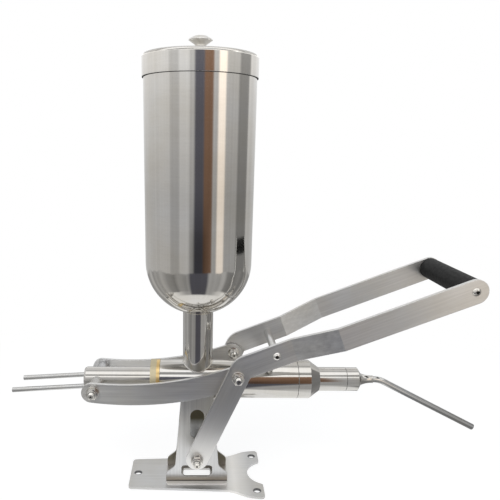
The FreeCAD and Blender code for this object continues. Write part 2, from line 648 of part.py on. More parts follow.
UPPER_X = "(crank_length * sin(leg_lean))"
UPPER_Z = "(pivot_height + crank_length * cos(leg_lean))"
LINK_RUN = f"({UPPER_X} + bolt_station)"
LINK_RISE = f"({UPPER_Z} - axis_height)"
LINK_SPAN = f"sqrt({LINK_RUN} ^ 2 + {LINK_RISE} ^ 2)"


def link(name, side):
    """Curved strap from the plunger's cross bolt to the lever's upper pivot, drawn along its chord."""
    body = new_body(name)
    sketch = new_sketch(body, "XZ_Plane")
    left = Vector(value_of("0 - link_left_outset"), value_of("0 - link_left_fall"), 0)
    right = Vector(value_of(f"{LINK_SPAN} - link_right_inset"), value_of("link_right_rise"), 0)
    left_radius, right_radius, bend = map(value_of, ("link_left_radius", "link_right_radius",
                                                     "link_curve_radius"))
    upper = crossing(left, bend + left_radius, right, bend + right_radius)
    lower = crossing(left, bend - left_radius, right, bend - right_radius)
    a = left + (upper - left).normalize() * left_radius
    b = right + (upper - right).normalize() * right_radius
    c = right + (right - lower).normalize() * right_radius
    d = left + (left - lower).normalize() * left_radius
    west, east, south = Vector(-1, 0, 0), Vector(1, 0, 0), Vector(0, -1, 0)
    arcs = [Part.Arc(d, left + west * left_radius, a), Part.Arc(a, upper + south * bend, b),
            Part.Arc(b, right + east * right_radius, c), Part.Arc(c, lower + south * bend, d)]
    made = [sketch.addGeometry(arc, False) for arc in arcs]
    joints = [(0, 1, a), (1, 2, b), (2, 3, c), (3, 0, d)]
    for first, second, spot in joints:
        ends = [1 if sketch.getPoint(made[n], 1).isEqual(spot, 1e-4) else 2 for n in (first, second)]
        sketch.addConstraint(Sketcher.Constraint("Tangent", made[first], ends[0], made[second], ends[1]))
    pin_point(sketch, made[0], 3, "-link_left_outset", "-link_left_fall")
    pin_point(sketch, made[2], 3, f"{LINK_SPAN} - link_right_inset", "link_right_rise")
    for number, size in ((0, "link_left_radius"), (2, "link_right_radius"), (1, "link_curve_radius"),
                         (3, "link_curve_radius")):
        index = sketch.addConstraint(Sketcher.Constraint("Radius", made[number], value_of(size)))
        sketch.setExpression(f"Constraints[{index}]", named(size))
    strap = feature(body, "Pad", "Strap", sketch, Length="link_sheet")
    strap.Reversed = side > 0
    hole = new_sketch(body, "XZ_Plane", "BoltHole")
    circle(hole, "0", "0", "bolt_radius + pivot_clearance")
    cut_through(body, hole, "BoltHoleCut")
    slot = new_sketch(body, "XZ_Plane", "PivotSlot")
    obround(slot, (f"{LINK_SPAN} + link_slot_fore", "link_slot_rise"),
            (f"{LINK_SPAN} - link_slot_back", "0 - link_slot_fall"), "bolt_radius + link_slot_clearance")
    cut_through(body, slot, "PivotSlotCut")
    place(body, x="-bolt_station - ear_station", y=f"{side} * link_inner", z="axis_height",
          axis=(0, -1, 0), angle=f"atan2({LINK_RISE}; {LINK_RUN})")


def crossing(first, first_radius, second, second_radius):
    """The upper point that lies at given distances from two points."""
    gap = second - first
    along = (gap.Length ** 2 + first_radius ** 2 - second_radius ** 2) / (2 * gap.Length)
    across = (first_radius ** 2 - along ** 2) ** 0.5
    unit = Vector(gap).normalize()
    return first + unit * along + Vector(-unit.y, unit.x, 0) * across


# ---------------------------------------------------------------- lever

def lever_frame():
    """Points and directions of the lever in its plane, from the lower pivot: x along X, y along Z."""
    lean, rise = radians(value_of("leg_lean")), radians(value_of("handle_angle"))
    leg, along = Vector(sin(lean), cos(lean), 0), Vector(cos(rise), sin(rise), 0)
    knee = leg * value_of("leg_length")
    return {"leg": leg, "leg_side": Vector(-leg.y, leg.x, 0), "along": along,
            "up": Vector(-along.y, along.x, 0), "knee": knee,
            "pivot": leg * value_of("crank_length"), "tie": knee + along * value_of("tie_station"),
            "grip": knee + along * value_of("handle_length")}


def meet(p, u, q, v):
    """Where the line through p along u meets the line through q along v, in the plane."""
    gap = q - p
    return p + u * ((gap.x * v.y - gap.y * v.x) / (u.x * v.y - u.y * v.x))


def lever_arm(name, side):
    """Leg and handle cut from one flat bar, with the handle cranked outwards by two bends."""
    f = lever_frame()
    half_leg, half_arm = value_of("leg_width") / 2, value_of("handle_width") / 2
    inner, outer, sheet_t = value_of("lever_inner"), value_of("grip_inner"), value_of("lever_sheet")
    left_foot, right_foot = f["leg_side"] * half_leg, f["leg_side"] * -half_leg
    high_end, low_end = f["grip"] + f["up"] * half_arm, f["grip"] - f["up"] * half_arm
    knee_out = meet(left_foot, f["leg"], high_end, f["along"])
    knee_in = meet(right_foot, f["leg"], low_end, f["along"])

    def at(p, y=0.0):
        return Vector(p.x, y, p.y)

    edges = [Part.LineSegment(at(left_foot), at(knee_out)), Part.LineSegment(at(knee_out), at(high_end)),
             Part.Arc(at(high_end), at(f["grip"] + f["along"] * half_arm), at(low_end)),
             Part.LineSegment(at(low_end), at(knee_in)), Part.LineSegment(at(knee_in), at(right_foot)),
             Part.Arc(at(right_foot), at(f["leg"] * -half_leg), at(left_foot))]
    face = Part.Face(Part.Wire([edge.toShape() for edge in edges]))
    depth = outer + sheet_t + 1
    blank = face.extrude(Vector(0, side * depth, 0))
    for spot, size in ((knee_out, "knee_round"), (knee_in, "knee_inner_round")):
        chosen = [e for e in blank.Edges if len(e.Vertexes) == 2
                  and all(hypot(p.Point.x - spot.x, p.Point.z - spot.y) < 1e-3 for p in e.Vertexes)]
        blank = blank.makeFillet(value_of(size), chosen)

    start, stop = value_of("joggle_start"), value_of("joggle_end")
    miter = sheet_t * tan(atan((outer - inner) / (stop - start)) / 2)
    reach = value_of("handle_length") + value_of("leg_length")
    plan = [(-reach, inner), (start, inner), (stop, outer), (reach, outer), (reach, outer + sheet_t),
            (stop - miter, outer + sheet_t), (start - miter, inner + sheet_t), (-reach, inner + sheet_t)]
    low = f["knee"] - f["up"] * reach
    band = [at(low + f["along"] * s, side * y) for s, y in plan]
    strip = Part.Face(Part.makePolygon(band + band[:1])).extrude(at(f["up"] * 2 * reach))
    arm = blank.common(strip)
    for spot, size in ((Vector(), "bolt_radius + pivot_clearance"), (f["pivot"], "bolt_radius + 0.02"),
                       (f["tie"], "screw_radius + 0.1"), (f["grip"], "screw_radius + 0.1")):
        drill = Part.makeCylinder(value_of(size), depth, at(spot), Vector(0, side, 0))
        arm = arm.cut(drill)
    made = doc.addObject("Part::Feature", name.title().replace("_", ""))
    made.Shape = arm.Solids[0]
    place(made, z="pivot_height")
    return node(name, made)


def lever_spot(key):
    """Frame x and z expressions of a point of the lever."""
    run = {"tie": "tie_station", "grip": "handle_length"}
    if key == "pivot":
        return f"{UPPER_X} - ear_station", UPPER_Z
    x = f"leg_length * sin(leg_lean) + {run[key]} * cos(handle_angle) - ear_station"
    z = f"pivot_height + leg_length * cos(leg_lean) + {run[key]} * sin(handle_angle)"
    return x, z


def button_screws(name, key, inner):
    """A pair of button-head screws, one through each arm into the rod between them."""
    x, z = lever_spot(key)
    made = []
    for side, along in ((-1, "y"), (1, "-y")):
        title = f"{name.title().replace('_', '')}{'Front' if side < 0 else 'Rear'}"
        face = f"({inner} + lever_sheet)"
        shank = rod(title + "Shank", "screw_radius", "screw_length", x, f"{side} * {face}", z, along)
        dome = doc.addObject("Part::Sphere", title + "Dome")
        dome_radius = "((screw_head_radius ^ 2 + screw_head_height ^ 2) / (2 * screw_head_height))"
        bind(dome, Radius=dome_radius)
        place(dome, x, f"{side} * ({face} + screw_head_height - {dome_radius})", z)
        blank = rod(title + "Blank", "screw_head_radius", "screw_head_height", x,
                    f"{side} * ({face} + screw_head_height)", z, along)
        head = doc.addObject("Part::Common", title + "Head")
        head.Base, head.Tool = blank, dome
        socket = hexagon(title + "Socket", "2 * screw_socket_radius", "screw_head_height * 0.6", x,
                         f"{side} * ({face} + screw_head_height + 0.01)", z, along)
        made.append(cut(title, fuse(title + "Body", shank, head), socket))
    node(name, group(name.title().replace("_", ""), *made))


def cross_rod(name, key, radius, inner, bore=None, shorten="0"):
    """A rod or sleeve from arm to arm."""
    x, z = lever_spot(key)
    title = name.title().replace("_", "")
    half = f"({inner} - {shorten})"
    outer = rod(title + "Outer", radius, f"2 * {half}", x, f"-{half}", z, "y")
    if bore is None:
        depth = "screw_length - lever_sheet + 2"
        tools = [rod(title + "TapFront", "screw_radius + 0.02", depth, x, f"-{half}", z, "y"),
                 rod(title + "TapRear", "screw_radius + 0.02", depth, x, half, z, "-y")]
    else:
        tools = [rod(title + "Bore", bore, f"2 * {half}", x, f"-{half}", z, "y")]
    node(name, cut(title, outer, *tools))


# ---------------------------------------------------------------- pivot hardware

def washer(label, x, start, z, side):
    """A washer from a face outwards; side is the way that it grows along Y."""
    along = "y" if side > 0 else "-y"
    disc = rod(label + "Disc", "washer_radius", "washer_sheet", x, start, z, along)
    return cut(label, disc, rod(label + "Hole", "bolt_radius + 0.1", "washer_sheet", x, start, z, along))


def lock_nut(label, x, start, z, side):
    """Hexagon nut with a round locking collar, growing along Y from its seat."""
    along = "y" if side > 0 else "-y"
    body = hexagon(label + "Hex", "nut_flats", "nut_height", x, start, z, along)
    collar = rod(label + "Collar", "nut_collar_radius", "nut_height + nut_collar_height", x, start, z, along)
    hole = rod(label + "Hole", "bolt_radius + 0.02", "nut_height + nut_collar_height", x, start, z, along)
    return cut(label, fuse(label + "Body", body, collar), hole)


def hex_bolt(label, x, head_face, tip, z, side):
    """Bolt with its head seated at head_face and its tip at tip; side is the way it points."""
    along, back = ("y", "-y") if side > 0 else ("-y", "y")
    shank = rod(label + "Shank", "bolt_radius", f"{side} * (({tip}) - ({head_face}))", x, head_face, z, along)
    head = hexagon(label + "Head", "nut_flats", "bolt_head_height", x, head_face, z, back)
    mark = rod(label + "Mark", "centre_mark_radius", "centre_mark_depth", x, tip, z, back)
    return cut(label, fuse(label + "Body", shank, head), mark)


NUT_STACK = "(washer_sheet + nut_height + nut_collar_height)"


def upper_pivots():
    """Front bolt points outwards with its nut outside; the rear one points inwards."""
    x, z = lever_spot("pivot")
    outer = "(lever_inner + lever_sheet)"
    link_face = "(link_inner - side_clearance)"
    front = hex_bolt("FrontPivotBolt", x, f"-({link_face} - washer_sheet)",
                     f"-({outer} + {NUT_STACK} + thread_stand_out)", z, -1)
    rear = hex_bolt("RearPivotBolt", x, f"{outer} + washer_sheet",
                    f"{link_face} - {NUT_STACK} - centre_mark_depth", z, -1)
    node("link_bolts", group("LinkBolts", front, rear))
    nuts = [lock_nut("FrontPivotNut", x, f"-({outer} + washer_sheet)", z, -1),
            lock_nut("RearPivotNut", x, f"{link_face} - washer_sheet", z, -1)]
    node("link_nuts", group("LinkNuts", *nuts))
    washers = [washer("FrontOuterWasher", x, f"-{outer}", z, -1),
               washer("FrontInnerWasher", x, f"-{link_face}", z, 1),
               washer("RearOuterWasher", x, outer, z, 1), washer("RearInnerWasher", x, link_face, z, -1)]
    node("link_washers", group("LinkWashers", *washers))


def lower_pivot():
    """One long bolt through both arms, both uprights, the sleeve and the side spacers."""
    x, z = "-ear_station", "pivot_height"
    outer = "(lever_inner + lever_sheet + side_clearance)"
    bolt = hex_bolt("LowerBolt", x, f"{outer} + washer_sheet", f"-({outer} + {NUT_STACK} + lower_stand_out)", z, -1)
    node("pivot_bolt", bolt)
    node("pivot_nut", lock_nut("LowerNut", x, f"-({outer} + washer_sheet)", z, -1))
    node("pivot_washers", group("LowerWashers", washer("LowerFrontWasher", x, f"-{outer}", z, -1),
                                washer("LowerRearWasher", x, outer, z, 1)))
    inner = "(bracket_half_width - bracket_sheet)"
    node("pivot_sleeve", spacer("PivotSleeve", x, f"-{inner}", inner, z))
    gap = "(lever_inner - side_clearance)"
    node("pivot_spacers", group("PivotSpacers",
                                spacer("FrontSpacer", x, f"-{gap}", "-bracket_half_width", z),
                                spacer("RearSpacer", x, "bracket_half_width", gap, z)))


def spacer(label, x, start, stop, z):
    length = f"({stop}) - ({start})"
    return cut(label, rod(label + "Wall", "sleeve_radius", length, x, start, z, "y"),
               rod(label + "Hole", "bolt_radius + 0.02", length, x, start, z, "y"))


def cross_bolt():
    """The bolt through the plunger that both links hang on, with a saddle-ended spacer each side."""
    x, z = "-bolt_station - ear_station", "axis_height"
    outer = "(link_inner + link_sheet + side_clearance)"
    node("cross_bolt", hex_bolt("CrossBolt", x, f"{outer} + washer_sheet",
                                f"-({outer} + {NUT_STACK} + thread_stand_out)", z, -1))
    node("cross_nut", lock_nut("CrossNut", x, f"-({outer} + washer_sheet)", z, -1))
    node("cross_washers", group("CrossWashers", washer("CrossFrontWasher", x, f"-{outer}", z, -1),
                                washer("CrossRearWasher", x, outer, z, 1)))
    face = "(link_inner - side_clearance)"
    tube = rod("CrossSaddle", "plunger_radius", "4 * sleeve_radius",
               x="-bolt_station - ear_station - 2 * sleeve_radius", z="axis_height", along="x")
    sleeves = [cut(f"{label}Fitted", spacer(label, x, start, stop, z), tube)
               for label, start, stop in (("CrossFrontSpacer", f"-{face}", "-plunger_radius / 2"),
                                          ("CrossRearSpacer", "plunger_radius / 2", face))]
    node("cross_spacers", group("CrossSpacers", *sleeves))


# ---------------------------------------------------------------- build, check, write

base_plate()
bracket_plate("bracket_front", -1)
bracket_plate("bracket_rear", 1)
barrel()
neck()
hopper()
lid()
lid_knob()
knob_screw()
gland()
outlet_reducer()
check_valve()
end_cap()
nozzle()
plunger()
needles()
link("link_front", -1)
link("link_rear", 1)
lever_arm("lever_arm_front", -1)
lever_arm("lever_arm_rear", 1)
cross_rod("grip_core", "grip", "grip_core_radius", "grip_inner")
cross_rod("grip_sleeve", "grip", "grip_radius", "grip_inner", "grip_core_radius + 0.02", "side_clearance")
cross_rod("tie_rod", "tie", "tie_radius", "lever_inner")
button_screws("grip_screws", "grip", "grip_inner")
button_screws("tie_screws", "tie", "lever_inner")
upper_pivots()
lower_pivot()
cross_bolt()
doc.recompute()

broken = [o.Label for o in doc.Objects if "Invalid" in o.State or "Error" in o.State]
if broken:
    raise RuntimeError("failed objects: " + ", ".join(broken))
os.makedirs("parts", exist_ok=True)
for name, obj in NODES.items():
    if obj.Shape.isNull() or not obj.Shape.isValid() or not obj.Shape.Solids:
        raise RuntimeError(f"{name}: bad shape")
    obj.Shape.exportStep(os.path.join("parts", name + ".step"))
print(len(NODES), "sub-parts,", sum(len(o.Shape.Solids) for o in NODES.values()), "solids")
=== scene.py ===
import random
from math import cos, pi, radians, sin, sqrt, tan

import bpy
from bpy.props import FloatProperty, FloatVectorProperty, PointerProperty
from mathutils import Matrix, Vector


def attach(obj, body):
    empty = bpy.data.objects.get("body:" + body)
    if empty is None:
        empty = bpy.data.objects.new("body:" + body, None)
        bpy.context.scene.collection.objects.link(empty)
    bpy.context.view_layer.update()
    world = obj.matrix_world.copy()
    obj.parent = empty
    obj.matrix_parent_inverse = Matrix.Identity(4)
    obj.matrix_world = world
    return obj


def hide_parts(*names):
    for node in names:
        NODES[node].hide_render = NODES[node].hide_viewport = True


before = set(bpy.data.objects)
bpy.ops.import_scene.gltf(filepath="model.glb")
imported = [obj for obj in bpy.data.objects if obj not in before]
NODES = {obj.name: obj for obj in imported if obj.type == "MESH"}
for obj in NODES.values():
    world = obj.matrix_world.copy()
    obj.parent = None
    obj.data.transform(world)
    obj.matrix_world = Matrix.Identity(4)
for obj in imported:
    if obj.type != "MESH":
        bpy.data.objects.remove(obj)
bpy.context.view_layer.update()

bl_info = {
    "name": "Donut Filler Dresser",
    "version": (1, 1, 0),
    "blender": (4, 5, 0),
    "location": "View3D > Sidebar > Donut Filler",
    "description": "Finishes, fasteners, welds and a plain studio for a manual donut filler",
    "category": "Object",
}

# Places that the steel pieces share with the machine's source, in metres.
HOPPER_X = -0.0795
AXIS_Z = 0.143
BARREL_RADIUS = 0.0254
NECK_RADIUS = 0.0193
HOPPER_RADIUS = 0.0659
BOWL_Z = 0.3005
KNEE = (-0.0248, 0.0, 0.1769)
LEG_SLOPE = radians(66.3)
HANDLE_SLOPE = radians(21.4)
# X and height of the pivots, the grip and the tie rod.
LOWER_PIVOT = (HOPPER_X, 0.0522)
CROSS_PIVOT = (-0.2095, AXIS_Z)
UPPER_PIVOT = (-0.02998, 0.16501)
GRIP_SPOT = (0.24181, 0.28138)
TIE_SPOT = (0.01677, 0.19319)
# X and distance from the middle plane of the base plate's holes.
EAR_HOLES = (0.0, 0.0422)
TAIL_HOLE = (-0.160, 0.0)


# ---------------------------------------------------------------- settings

def colour(name, description, default):
    return FloatVectorProperty(name=name, description=description, subtype="COLOR", size=3, min=0, max=1,
                               default=default)


def share(name, description, default):
    return FloatProperty(name=name, description=description, subtype="FACTOR", min=0, max=1, default=default)


class SteelSettings(bpy.types.PropertyGroup):
    """Looks of the stainless steel pieces"""
    polished: colour("Polished steel", "Colour of the polished pieces", (0.64, 0.63, 0.615))
    satin: colour("Satin steel", "Colour of the brushed bars and plates", (0.70, 0.705, 0.71))
    fastener: colour("Fasteners", "Colour of bolts, nuts and washers", (0.76, 0.75, 0.73))
    # Recesses take painted shade: sockets, centre marks, seams and the gap under the lid.
    recess_shade: colour("Recesses", "Colour of sockets, seams and centre marks", (0.03, 0.028, 0.025))
    polished_roughness: share("Polish", "Roughness of the polished pieces", 0.07)
    satin_roughness: share("Satin", "Roughness of the brushed pieces", 0.32)
    edge: FloatProperty(name="Edge", description="Radius of the softened edges", unit="LENGTH",
                        default=0.0006)


class TrimSettings(bpy.types.PropertyGroup):
    """Looks of the brass ring, the rubber grip and the inner trim"""
    brass: colour("Brass ring", "Colour of the turned part of the gland ring", (0.80, 0.60, 0.30))
    dulled_brass: colour("Dulled brass", "Colour of the gland ring's dull band", (0.62, 0.55, 0.38))
    rubber: colour("Grip rubber", "Colour of the grip", (0.010, 0.010, 0.010))
    bush: colour("Gland bush", "Colour of the gland bush", (0.85, 0.84, 0.80))
    nylon: colour("Nut insert", "Colour of the lock nuts' inserts", (0.55, 0.56, 0.55))


class FastenerSettings(bpy.types.PropertyGroup):
    """Sizes of the fastener details"""
    pitch: FloatProperty(name="Thread pitch", description="Distance between two thread turns", unit="LENGTH",
                         default=0.00125)
    thread_depth: FloatProperty(name="Thread depth", description="Depth of the thread", unit="LENGTH",
                                default=0.00062)
    socket: FloatProperty(name="Socket", description="Depth of the hexagon sockets", unit="LENGTH",
                          default=0.0022)
    bead: FloatProperty(name="Weld bead", description="Radius of the weld beads", unit="LENGTH",
                        default=0.0009)


class StageSettings(bpy.types.PropertyGroup):
    """Floor, lamps and surroundings"""
    floor_size: FloatProperty(name="Floor", description="Side of the floor", unit="LENGTH", default=8.0)
    room_radius: FloatProperty(name="Room", description="Distance of the walls that the steel reflects",
                               unit="LENGTH", default=0.90)
    room_height: FloatProperty(name="Walls", description="Height of those walls", unit="LENGTH", default=0.80)
    vault_radius: FloatProperty(name="Ceiling", description="Radius of the ceiling that the steel reflects",
                                unit="LENGTH", default=1.30)
    key_power: FloatProperty(name="Key lamp", description="Power of the main lamp", default=14.0)
    fill_power: FloatProperty(name="Fill lamp", description="Power of the second lamp", default=5.0)


# ---------------------------------------------------------------- node helpers

def new_material(name):
    material = bpy.data.materials.new(name)
    material.use_nodes = True
    nodes = material.node_tree.nodes
    nodes.clear()
    out = nodes.new("ShaderNodeOutputMaterial")
    shader = nodes.new("ShaderNodeBsdfPrincipled")
    material.node_tree.links.new(shader.outputs["BSDF"], out.inputs["Surface"])
    return material, shader


def add(tree, kind, **values):
    node = tree.nodes.new("ShaderNode" + kind)
    for key, value in values.items():
        if hasattr(node, key):
            setattr(node, key, value)
        else:
            node.inputs[key].default_value = value
    return node


def group_tree(name, inputs, outputs):
    tree = bpy.data.node_groups.new(name, "ShaderNodeTree")
    for label, kind, value in inputs:
        socket = tree.interface.new_socket(label, in_out="INPUT", socket_type=kind)
        if value is not None:
            socket.default_value = value
    for label, kind in outputs:
        tree.interface.new_socket(label, in_out="OUTPUT", socket_type=kind)
    return tree, tree.nodes.new("NodeGroupInput"), tree.nodes.new("NodeGroupOutput")


def place_group(material, name, **values):
    node = material.node_tree.nodes.new("ShaderNodeGroup")
    node.node_tree = bpy.data.node_groups[name]
    for key, value in values.items():
        node.inputs[key].default_value = value
    return node


def wire(tree, item, socket):
    """Link an output to a socket, or set the socket where the item is a plain value."""
    if isinstance(item, bpy.types.NodeSocket):
        tree.links.new(item, socket)
    else:
        socket.default_value = item


def maths(tree, operation, first, second=None):
    node = add(tree, "Math", operation=operation)
    wire(tree, first, node.inputs[0])
    if second is not None:
        wire(tree, second, node.inputs[1])
    return node.outputs[0]


def vectors(tree, operation, first, second):
    node = add(tree, "VectorMath", operation=operation)
    wire(tree, first, node.inputs[0])
    wire(tree, second, node.inputs[1])
    return node.outputs["Value" if operation == "DOT_PRODUCT" else "Vector"]


def mapped(tree, value, low, high, to_low=0.0, to_high=1.0):
    node = add(tree, "MapRange")
    for item, label in ((value, "Value"), (low, "From Min"), (high, "From Max"), (to_low, "To Min"),
                        (to_high, "To Max")):
        wire(tree, item, node.inputs[label])
    return node.outputs["Result"]


def mixed(tree, factor, first, second, kind="RGBA"):
    node = add(tree, "Mix", data_type=kind)
    if kind == "FLOAT":
        inputs, result = (node.inputs[0], node.inputs[2], node.inputs[3]), node.outputs[0]
    elif kind == "VECTOR":
        inputs, result = (node.inputs[0], node.inputs[4], node.inputs[5]), node.outputs[1]
    else:
        inputs, result = (node.inputs[0], node.inputs[6], node.inputs[7]), node.outputs[2]
    for item, socket in zip((factor, first, second), inputs):
        wire(tree, item, socket)
    return result


def build_belt_group():
    """Lines left by a grinding belt: fine and coarse ones, long along the first axis of Vector."""
    tree, start, end = group_tree(
        "BeltLines",
        [("Vector", "NodeSocketVector", None), ("Fine", "NodeSocketVector", (8.0, 420.0, 420.0)),
         ("Coarse", "NodeSocketVector", (2.5, 110.0, 110.0)),
         ("Light", "NodeSocketColor", (0.7, 0.7, 0.7, 1)),
         ("Dark", "NodeSocketColor", (0.5, 0.5, 0.5, 1)), ("Low", "NodeSocketFloat", 0.2),
         ("High", "NodeSocketFloat", 0.3)],
        [("Color", "NodeSocketColor"), ("Roughness", "NodeSocketFloat"), ("Lines", "NodeSocketFloat")])
    fine = add(tree, "TexNoise", Scale=1.0, Detail=4.0, Roughness=0.62)
    coarse = add(tree, "TexNoise", Scale=1.0, Detail=2.0, Roughness=0.5)
    for label, noise in (("Fine", fine), ("Coarse", coarse)):
        spot = vectors(tree, "MULTIPLY", start.outputs["Vector"], start.outputs[label])
        tree.links.new(spot, noise.inputs["Vector"])
    both = maths(tree, "ADD", maths(tree, "MULTIPLY", fine.outputs["Fac"], 0.6),
                 maths(tree, "MULTIPLY", coarse.outputs["Fac"], 0.4))
    lines = mapped(tree, both, 0.34, 0.66)
    tree.links.new(mixed(tree, lines, start.outputs["Dark"], start.outputs["Light"]), end.inputs["Color"])
    tree.links.new(mapped(tree, lines, 0.0, 1.0, start.outputs["Low"], start.outputs["High"]),
                   end.inputs["Roughness"])
    tree.links.new(lines, end.inputs["Lines"])


def build_smudge_group():
    """Broad soft clouds of handling marks that tint the colour and raise the roughness a little."""
    tree, start, end = group_tree(
        "Smudges",
        [("Vector", "NodeSocketVector", None), ("Size", "NodeSocketFloat", 9.0),
         ("Strength", "NodeSocketFloat", 0.08), ("Color", "NodeSocketColor", (0.6, 0.6, 0.6, 1)),
         ("Tint", "NodeSocketColor", (0.9, 0.87, 0.8, 1))],
        [("Color", "NodeSocketColor"), ("Mask", "NodeSocketFloat")])
    noise = add(tree, "TexNoise", Detail=5.0, Roughness=0.55)
    tree.links.new(start.outputs["Vector"], noise.inputs["Vector"])
    tree.links.new(start.outputs["Size"], noise.inputs["Scale"])
    clouds = mapped(tree, noise.outputs["Fac"], 0.35, 0.7)
    tinted = add(tree, "Mix", data_type="RGBA", blend_type="MULTIPLY")
    tree.links.new(clouds, tinted.inputs[0])
    tree.links.new(start.outputs["Color"], tinted.inputs[6])
    tree.links.new(start.outputs["Tint"], tinted.inputs[7])
    tree.links.new(tinted.outputs[2], end.inputs["Color"])
    tree.links.new(maths(tree, "MULTIPLY", clouds, start.outputs["Strength"]), end.inputs["Mask"])


def build_edge_group():
    """Rounds the shading of sharp edges and gives a mask of where they are."""
    tree, start, end = group_tree(
        "SoftEdges", [("Radius", "NodeSocketFloat", 0.0006)],
        [("Normal", "NodeSocketVector"), ("Mask", "NodeSocketFloat")])
    bevel = add(tree, "Bevel", samples=4)
    tree.links.new(start.outputs["Radius"], bevel.inputs["Radius"])
    flat = tree.nodes.new("ShaderNodeNewGeometry").outputs["Normal"]
    facing = vectors(tree, "DOT_PRODUCT", bevel.outputs["Normal"], flat)
    tree.links.new(bevel.outputs["Normal"], end.inputs["Normal"])
    tree.links.new(mapped(tree, facing, 0.98, 0.75), end.inputs["Mask"])


def belt_turned(tree, where, slope):
    """Coordinates whose first axis runs along a belt direction in the upright plane of the bars."""
    if not slope:
        return where
    turned = add(tree, "Mapping")
    turned.inputs["Rotation"].default_value = (0, slope, 0)
    tree.links.new(where, turned.inputs["Vector"])
    return turned.outputs["Vector"]


def steel(name, color, rough, slopes=(0.0,), fine=(8, 420, 420), coarse=(2.5, 110, 110), contrast=0.12,
          spread=0.04, relief=0.1, smudge=0.05, tint=(0.93, 0.90, 0.84), pull=0.0, across=None, edge=0.0):
    """Stainless steel with belt lines.

    slopes are the belt's directions in the upright plane, before and after the knee. pull says how far
    reflections are drawn out across the lines, and across is that direction where slopes don't give it.
    """
    material, shader = new_material(name)
    tree = material.node_tree
    where = tree.nodes.new("ShaderNodeTexCoord").outputs["Object"]
    past_knee = None
    if len(slopes) == 2:
        bisector = Vector((cos(slopes[0]) + cos(slopes[1]), 0, sin(slopes[0]) + sin(slopes[1]))).normalized()
        beyond = vectors(tree, "DOT_PRODUCT", vectors(tree, "SUBTRACT", where, KNEE), tuple(bisector))
        past_knee = mapped(tree, beyond, -0.004, 0.004)
    fields = []
    light = (*(min(1.0, c * (1 + contrast)) for c in color), 1)
    dark = (*(c * (1 - contrast) for c in color), 1)
    for slope in slopes:
        lines = place_group(material, "BeltLines", Fine=fine, Coarse=coarse, Light=light, Dark=dark,
                            Low=max(0.02, rough - spread), High=rough + spread)
        tree.links.new(belt_turned(tree, where, slope), lines.inputs["Vector"])
        fields.append(lines)
    tone, coarse_rough, pattern = (fields[0].outputs[k] for k in ("Color", "Roughness", "Lines"))
    if past_knee is not None:
        second = fields[1].outputs
        tone = mixed(tree, past_knee, tone, second["Color"])
        coarse_rough = mixed(tree, past_knee, coarse_rough, second["Roughness"], "FLOAT")
        pattern = mixed(tree, past_knee, pattern, second["Lines"], "FLOAT")
    marks = place_group(material, "Smudges", Size=13.0, Strength=smudge, Tint=(*tint, 1))
    tree.links.new(where, marks.inputs["Vector"])
    tree.links.new(tone, marks.inputs["Color"])
    tone = marks.outputs["Color"]
    roughness = maths(tree, "ADD", coarse_rough, marks.outputs["Mask"])
    bump = add(tree, "Bump", Strength=relief, Distance=0.0002)
    tree.links.new(pattern, bump.inputs["Height"])
    if edge:
        rim = place_group(material, "SoftEdges", Radius=edge)
        tree.links.new(rim.outputs["Normal"], bump.inputs["Normal"])
        # Painted highlight: the colour is made lighter along the softened edges.
        bright = (*(min(1.0, c * 1.35) for c in color), 1)
        tone = mixed(tree, rim.outputs["Mask"], tone, bright)
        roughness = mixed(tree, rim.outputs["Mask"], roughness, max(0.1, rough * 0.6), "FLOAT")
    tree.links.new(tone, shader.inputs["Base Color"])
    tree.links.new(roughness, shader.inputs["Roughness"])
    tree.links.new(bump.outputs["Normal"], shader.inputs["Normal"])
    shader.inputs["Metallic"].default_value = 1.0
    if pull:
        shader.inputs["Anisotropic"].default_value = pull
        if across is not None:
            sideways = [tuple(across)]
        else:
            sideways = [(-sin(slope), 0.0, cos(slope)) for slope in slopes]
        turned = []
        for direction in sideways:
            carried = add(tree, "VectorTransform", vector_type="VECTOR", convert_from="OBJECT",
                          convert_to="WORLD")
            carried.inputs["Vector"].default_value = direction
            turned.append(carried.outputs["Vector"])
        drawn = turned[0] if len(turned) == 1 else mixed(tree, past_knee, turned[0], turned[1], "VECTOR")
        tree.links.new(drawn, shader.inputs["Tangent"])
    return material


def dull(name, color, rough, grain=400.0, relief=0.2, strength=0.15, gloss=0.5):
    """Rubber, plastic, or the painted shade that fills a recess, with a fine grain."""
    material, shader = new_material(name)
    tree = material.node_tree
    where = tree.nodes.new("ShaderNodeTexCoord").outputs["Object"]
    marks = place_group(material, "Smudges", Size=grain, Strength=strength, Color=(*color, 1),
                        Tint=(0.72, 0.72, 0.72, 1))
    tree.links.new(where, marks.inputs["Vector"])
    shader.inputs["Specular IOR Level"].default_value = gloss
    tree.links.new(marks.outputs["Color"], shader.inputs["Base Color"])
    tree.links.new(maths(tree, "ADD", marks.outputs["Mask"], rough), shader.inputs["Roughness"])
    bump = add(tree, "Bump", Strength=relief, Distance=0.0002)
    tree.links.new(marks.outputs["Mask"], bump.inputs["Height"])
    tree.links.new(bump.outputs["Normal"], shader.inputs["Normal"])
    return material


def within(tree, value, low, high, soft=0.0002):
    """1 where a value lies between low and high."""
    return maths(tree, "MULTIPLY", mapped(tree, value, low - soft, low + soft),
                 mapped(tree, value, high + soft, high - soft))


def places(material):
    """X, distance from the middle plane, and height, of a point on a piece."""
    tree = material.node_tree
    split = add(tree, "SeparateXYZ")
    tree.links.new(tree.nodes.new("ShaderNodeTexCoord").outputs["Object"], split.inputs[0])
    return tree, split.outputs["X"], maths(tree, "ABSOLUTE", split.outputs["Y"]), split.outputs["Z"]


